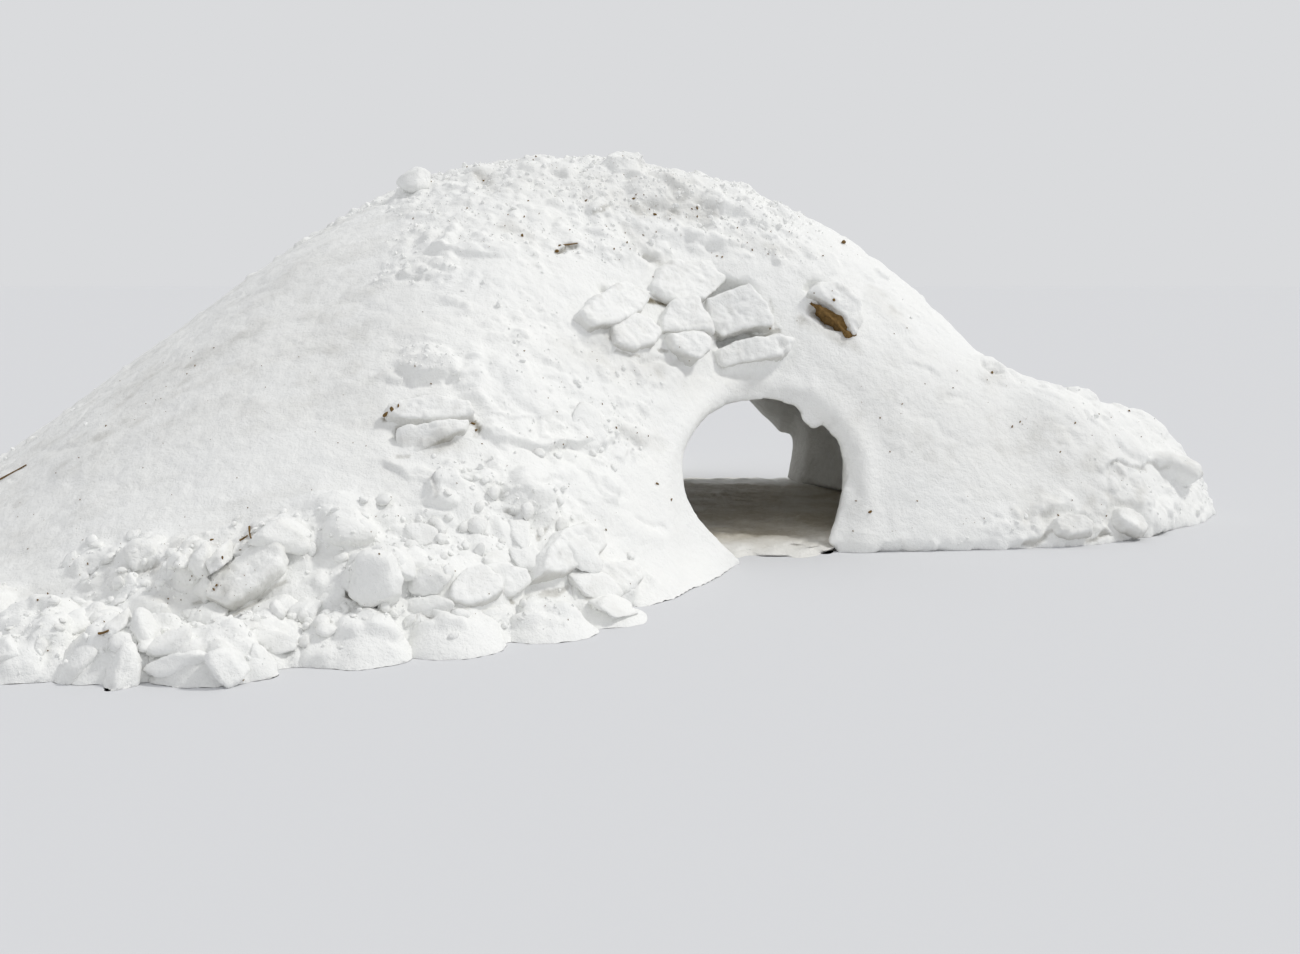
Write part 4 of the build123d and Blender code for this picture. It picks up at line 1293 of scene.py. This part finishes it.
# Grains of dirt and bark on the snow: place in the photograph's pixels, and width in them.
GRAINS = [
    (431, 182, 4), (467, 209, 6), (413, 219, 3), (432, 213, 2), (467, 167, 3), (493, 159, 2),
    (517, 161, 2), (484, 181, 4), (536, 157, 4), (557, 168, 2), (598, 177, 2), (624, 175, 2),
    (623, 156, 3), (533, 160, 3), (506, 204, 2), (508, 215, 3), (505, 226, 3), (539, 214, 3),
    (524, 217, 4), (528, 201, 3), (503, 241, 2), (522, 236, 6), (563, 201, 2), (586, 201, 5),
    (589, 187, 2), (556, 251, 6), (570, 230, 3), (606, 226, 4), (625, 233, 3), (643, 235, 3),
    (656, 232, 3), (614, 249, 3), (621, 250, 2), (630, 249, 3), (627, 243, 4), (634, 199, 6),
    (644, 195, 3), (636, 195, 3), (631, 206, 3), (649, 209, 4), (655, 215, 6), (656, 206, 2),
    (670, 219, 3), (697, 208, 5), (692, 209, 3), (697, 217, 4), (686, 217, 2), (653, 277, 3),
    (722, 257, 5), (737, 228, 4), (789, 232, 3), (823, 256, 4), (799, 217, 2), (814, 293, 3),
    (797, 321, 2), (770, 328, 4), (771, 232, 3), (717, 256, 3), (752, 250, 4), (768, 254, 3),
    (747, 243, 3), (832, 291, 2), (894, 334, 2), (907, 328, 3), (423, 312, 2), (415, 366, 3),
    (431, 384, 3), (524, 351, 3), (592, 352, 2), (543, 378, 2), (548, 398, 2), (557, 412, 3),
    (602, 404, 3), (587, 437, 4), (616, 428, 4), (637, 433, 3), (648, 436, 3), (563, 444, 3),
    (482, 444, 3), (366, 446, 2), (507, 466, 2), (457, 483, 2), (494, 482, 2), (471, 504, 2),
    (391, 497, 2), (398, 516, 3), (371, 532, 3), (379, 554, 4), (455, 571, 4), (489, 594, 3),
    (657, 484, 6), (671, 500, 5), (606, 530, 3), (545, 606, 2), (568, 620, 3), (80, 500, 3),
    (28, 549, 3), (73, 559, 2), (88, 564, 4), (80, 575, 2), (48, 594, 4), (38, 600, 4),
    (62, 594, 2), (16, 590, 2), (172, 495, 2), (185, 517, 2), (248, 508, 3), (312, 490, 2),
    (212, 540, 6), (222, 558, 5), (240, 550, 3), (163, 582, 4), (190, 580, 4), (192, 576, 3),
    (168, 599, 3), (181, 600, 3), (200, 611, 2), (104, 622, 3), (48, 651, 4), (243, 680, 5),
    (214, 348, 3), (195, 366, 4), (187, 374, 3), (161, 399, 2), (146, 404, 2), (106, 426, 3),
    (79, 458, 3), (56, 473, 2), (143, 468, 2), (208, 401, 2), (299, 357, 3), (315, 432, 2),
    (338, 443, 2), (353, 443, 2), (343, 395, 2), (237, 478, 2), (135, 345, 3), (120, 381, 2),
    (856, 501, 3), (870, 512, 6), (853, 531, 3), (917, 501, 3), (984, 518, 2), (890, 452, 3),
    (880, 418, 4), (902, 404, 3), (957, 371, 3), (925, 384, 2), (953, 388, 3), (992, 373, 8),
    (987, 380, 3), (1014, 361, 2), (1060, 374, 2), (1012, 427, 5), (1020, 422, 3), (1075, 423, 4),
    (1060, 452, 4), (1141, 437, 3), (1098, 415, 5), (1136, 398, 6), (1129, 411, 5), (1058, 515, 3),
    (1072, 500, 4), (1106, 516, 3),
]
# Zones with more, finer grains: corners in pixels and their number.
GRAIN_ZONES = [
    (440, 160, 700, 260, 60), (700, 200, 860, 270, 22), (400, 180, 470, 280, 12),
    (0, 500, 230, 610, 30), (60, 340, 330, 480, 26), (340, 480, 660, 620, 26),
    (860, 370, 1150, 540, 40), (150, 540, 260, 610, 26), (560, 340, 700, 400, 14),
]
# Bits of earth: place and width in pixels.
EARTH_BITS = [
    (386, 414, 9), (392, 410, 8), (398, 406, 6), (473, 424, 8), (476, 430, 6), (843, 243, 9),
    (834, 300, 7), (826, 318, 6), (846, 330, 6), (556, 251, 7), (332, 702, 6), (352, 706, 7),
    (214, 590, 6), (217, 585, 5), (352, 600, 5),
]
# How wide grains and bits are made, as a share of how wide they look.
GRAIN_SHARE = 0.78
# Twigs: from and to in pixels, and width in metres.
TWIGS = [
    (250, 527, 252, 538, 0.010), (240, 541, 247, 536, 0.009), (559, 246, 577, 243, 0.010),
    (-4, 482, 27, 465, 0.011), (99, 634, 109, 630, 0.011),
]


def dirt(tree):
    """Grains of bark and bits of earth on the snow, small and flat."""
    rng = np.random.default_rng(SEED + 3)
    spots = list(GRAINS)
    for x0, y0, x1, y1, count in GRAIN_ZONES:
        spots += [(rng.uniform(x0, x1), rng.uniform(y0, y1), rng.uniform(0.9, 1.8))
                  for _ in range(count)]
    for name, chosen, level, dent_depth, dent_width in (("bark_grains", spots, 1, 0.008, 0.012),
                                                        ("earth_bits", EARTH_BITS, 2, 0.016, 0.02)):
        places, sizes = [], []
        for x, y, wide in chosen:
            place, normal, far = seen_place(tree, x, y)
            if place is None:
                continue
            size = GRAIN_SHARE * wide * far / FOCAL_PIXELS * rng.uniform(0.8, 1.2)
            places.append(place + normal * size * 0.12)
            sizes.append(size)
        scattered(name, places, sizes, FROZEN_EARTH, "frozen_earth", level,
                  {"Narrowness": 0.55, "Flatness": 0.4, "Dent depth": dent_depth,
                   "Dent width": dent_width, "Seed": SEED + 1})


def twig(name, tree, x0, y0, x1, y1, wide):
    """A thin stick, slightly bent, lying on the snow from one pixel to another."""
    ends = [seen_place(tree, x, y) for x, y in ((x0, y0), (x1, y1))]
    if ends[0][0] is None or ends[1][0] is None:
        return
    start, finish = (place + normal * wide * 0.4 for place, normal, _ in ends)
    along = (finish - start).normalized()
    side = along.cross(ends[0][1]).normalized()
    up = side.cross(along)
    rings, sides = 5, 7
    verts = []
    for k in range(rings):
        t = k / (rings - 1)
        middle = start.lerp(finish, t) + side * wide * 0.5 * math.sin(2.5 * t)
        half = 0.5 * wide * (1 - 0.35 * t)
        for j in range(sides):
            a = 2 * math.pi * j / sides
            verts.append(middle + side * half * math.cos(a) + up * half * math.sin(a))
    faces = [(k * sides + j, k * sides + (j + 1) % sides, (k + 1) * sides + (j + 1) % sides,
              (k + 1) * sides + j) for k in range(rings - 1) for j in range(sides)]
    faces += [tuple(range(sides))[::-1], tuple(range((rings - 1) * sides, rings * sides))]
    mesh = bpy.data.meshes.new(name)
    mesh.from_pydata([tuple(v) for v in verts], [], faces)
    finish_piece(new_object(name, mesh), FROZEN_EARTH, "frozen_earth")


block_solids = all_blocks()
skin = mound_skin(block_solids)
skin_base, skin_rough, loose_lumps = shape_skin(skin, block_solids)
skin_points, skin_normals = points_of(skin), normals_of(skin)
underside(skin)
split_skin(skin, skin_base)
trodden_floor()
crumbled_earth(block_solids.pop(EARTH))
blocks = [weathered_block(node_name, solid, 1000 + 10 * k)
          for k, (node_name, solid) in enumerate(block_solids.items())]
snow_crumbs(skin_points, skin_normals, ease(skin_rough, 0.15, 0.9))
blocks.append(clods("snow_clods_large", loose_lumps, 4, 0.0, SEED + 5))
rolled_lumps = foot_clods(skin_points, skin_normals, skin_rough)
blocks.append(clods("snow_clods_small", rolled_lumps, 2, 0.25, SEED + 6))
snow_surface = surface_of([skin] + blocks)[0]
dirt(snow_surface)
for k, stick in enumerate(TWIGS):
    twig(f"twig_{k + 1}", snow_surface, *stick)


# Camera, floor and light.
FLOOR_COLOUR = "#d8d9db"
BACKDROP_COLOUR = "#dadbdd"
SKY_COLOUR = "#f7f8fb"
SKY_STRENGTH = 0.71
KEY_STRENGTH = 1.38
KEY_WIDTH_DEGREES = 9
KEY_DIRECTION = (-0.62, -0.08, -0.78)

camera_data = bpy.data.cameras.new("camera")
camera = new_object("camera", camera_data)
camera_data.sensor_width = SENSOR_WIDTH
camera_data.lens = SENSOR_WIDTH * FOCAL_PIXELS / FRAME_WIDTH
camera_data.shift_y = (OPTICAL_CENTRE[1] - FRAME_HEIGHT / 2) / FRAME_WIDTH
camera.location = EYE
camera.rotation_euler = (math.pi / 2 - PITCH, 0, 0)
bpy.context.scene.camera = camera

ground_mesh = bpy.data.meshes.new("ground")
ground_mesh.from_pydata([(-90, -60, 0), (90, -60, 0), (90, 120, 0), (-90, 120, 0)], [], [(0, 1, 2, 3)])
ground = new_object("ground", ground_mesh)
ground_material, ground_tree, ground_shader, _ = new_material("pale_floor", 0.9, 0.1)
ground_shader.inputs["Base Color"].default_value = linear(FLOOR_COLOUR)
ground_mesh.materials.append(ground_material)

world = bpy.data.worlds.new("soft_sky")
world.use_nodes = True
sky = world.node_tree
for old in list(sky.nodes):
    sky.nodes.remove(old)
rays = add(sky, "ShaderNodeLightPath")
shown = add(sky, "ShaderNodeMath", {0: rays.outputs["Is Camera Ray"], 1: rays.outputs["Is Glossy Ray"]},
            operation="MAXIMUM")
light = add(sky, "ShaderNodeBackground", {"Color": linear(SKY_COLOUR),
                                          "Strength": SKY_STRENGTH})
backdrop = add(sky, "ShaderNodeBackground", {"Color": linear(BACKDROP_COLOUR), "Strength": 1.0})
mixed = add(sky, "ShaderNodeMixShader", {0: shown.outputs["Value"], 1: light.outputs["Background"],
                                         2: backdrop.outputs["Background"]})
add(sky, "ShaderNodeOutputWorld", {"Surface": mixed.outputs["Shader"]})
bpy.context.scene.world = world

key_data = bpy.data.lights.new("soft_key", "SUN")
key_data.energy = KEY_STRENGTH
key_data.angle = math.radians(KEY_WIDTH_DEGREES)
key_data.color = (1.0, 0.985, 0.95)
key = new_object("soft_key", key_data)
key.rotation_euler = Vector(KEY_DIRECTION).to_track_quat("-Z", "Y").to_euler()

bpy.context.scene.view_settings.view_transform = "Standard"
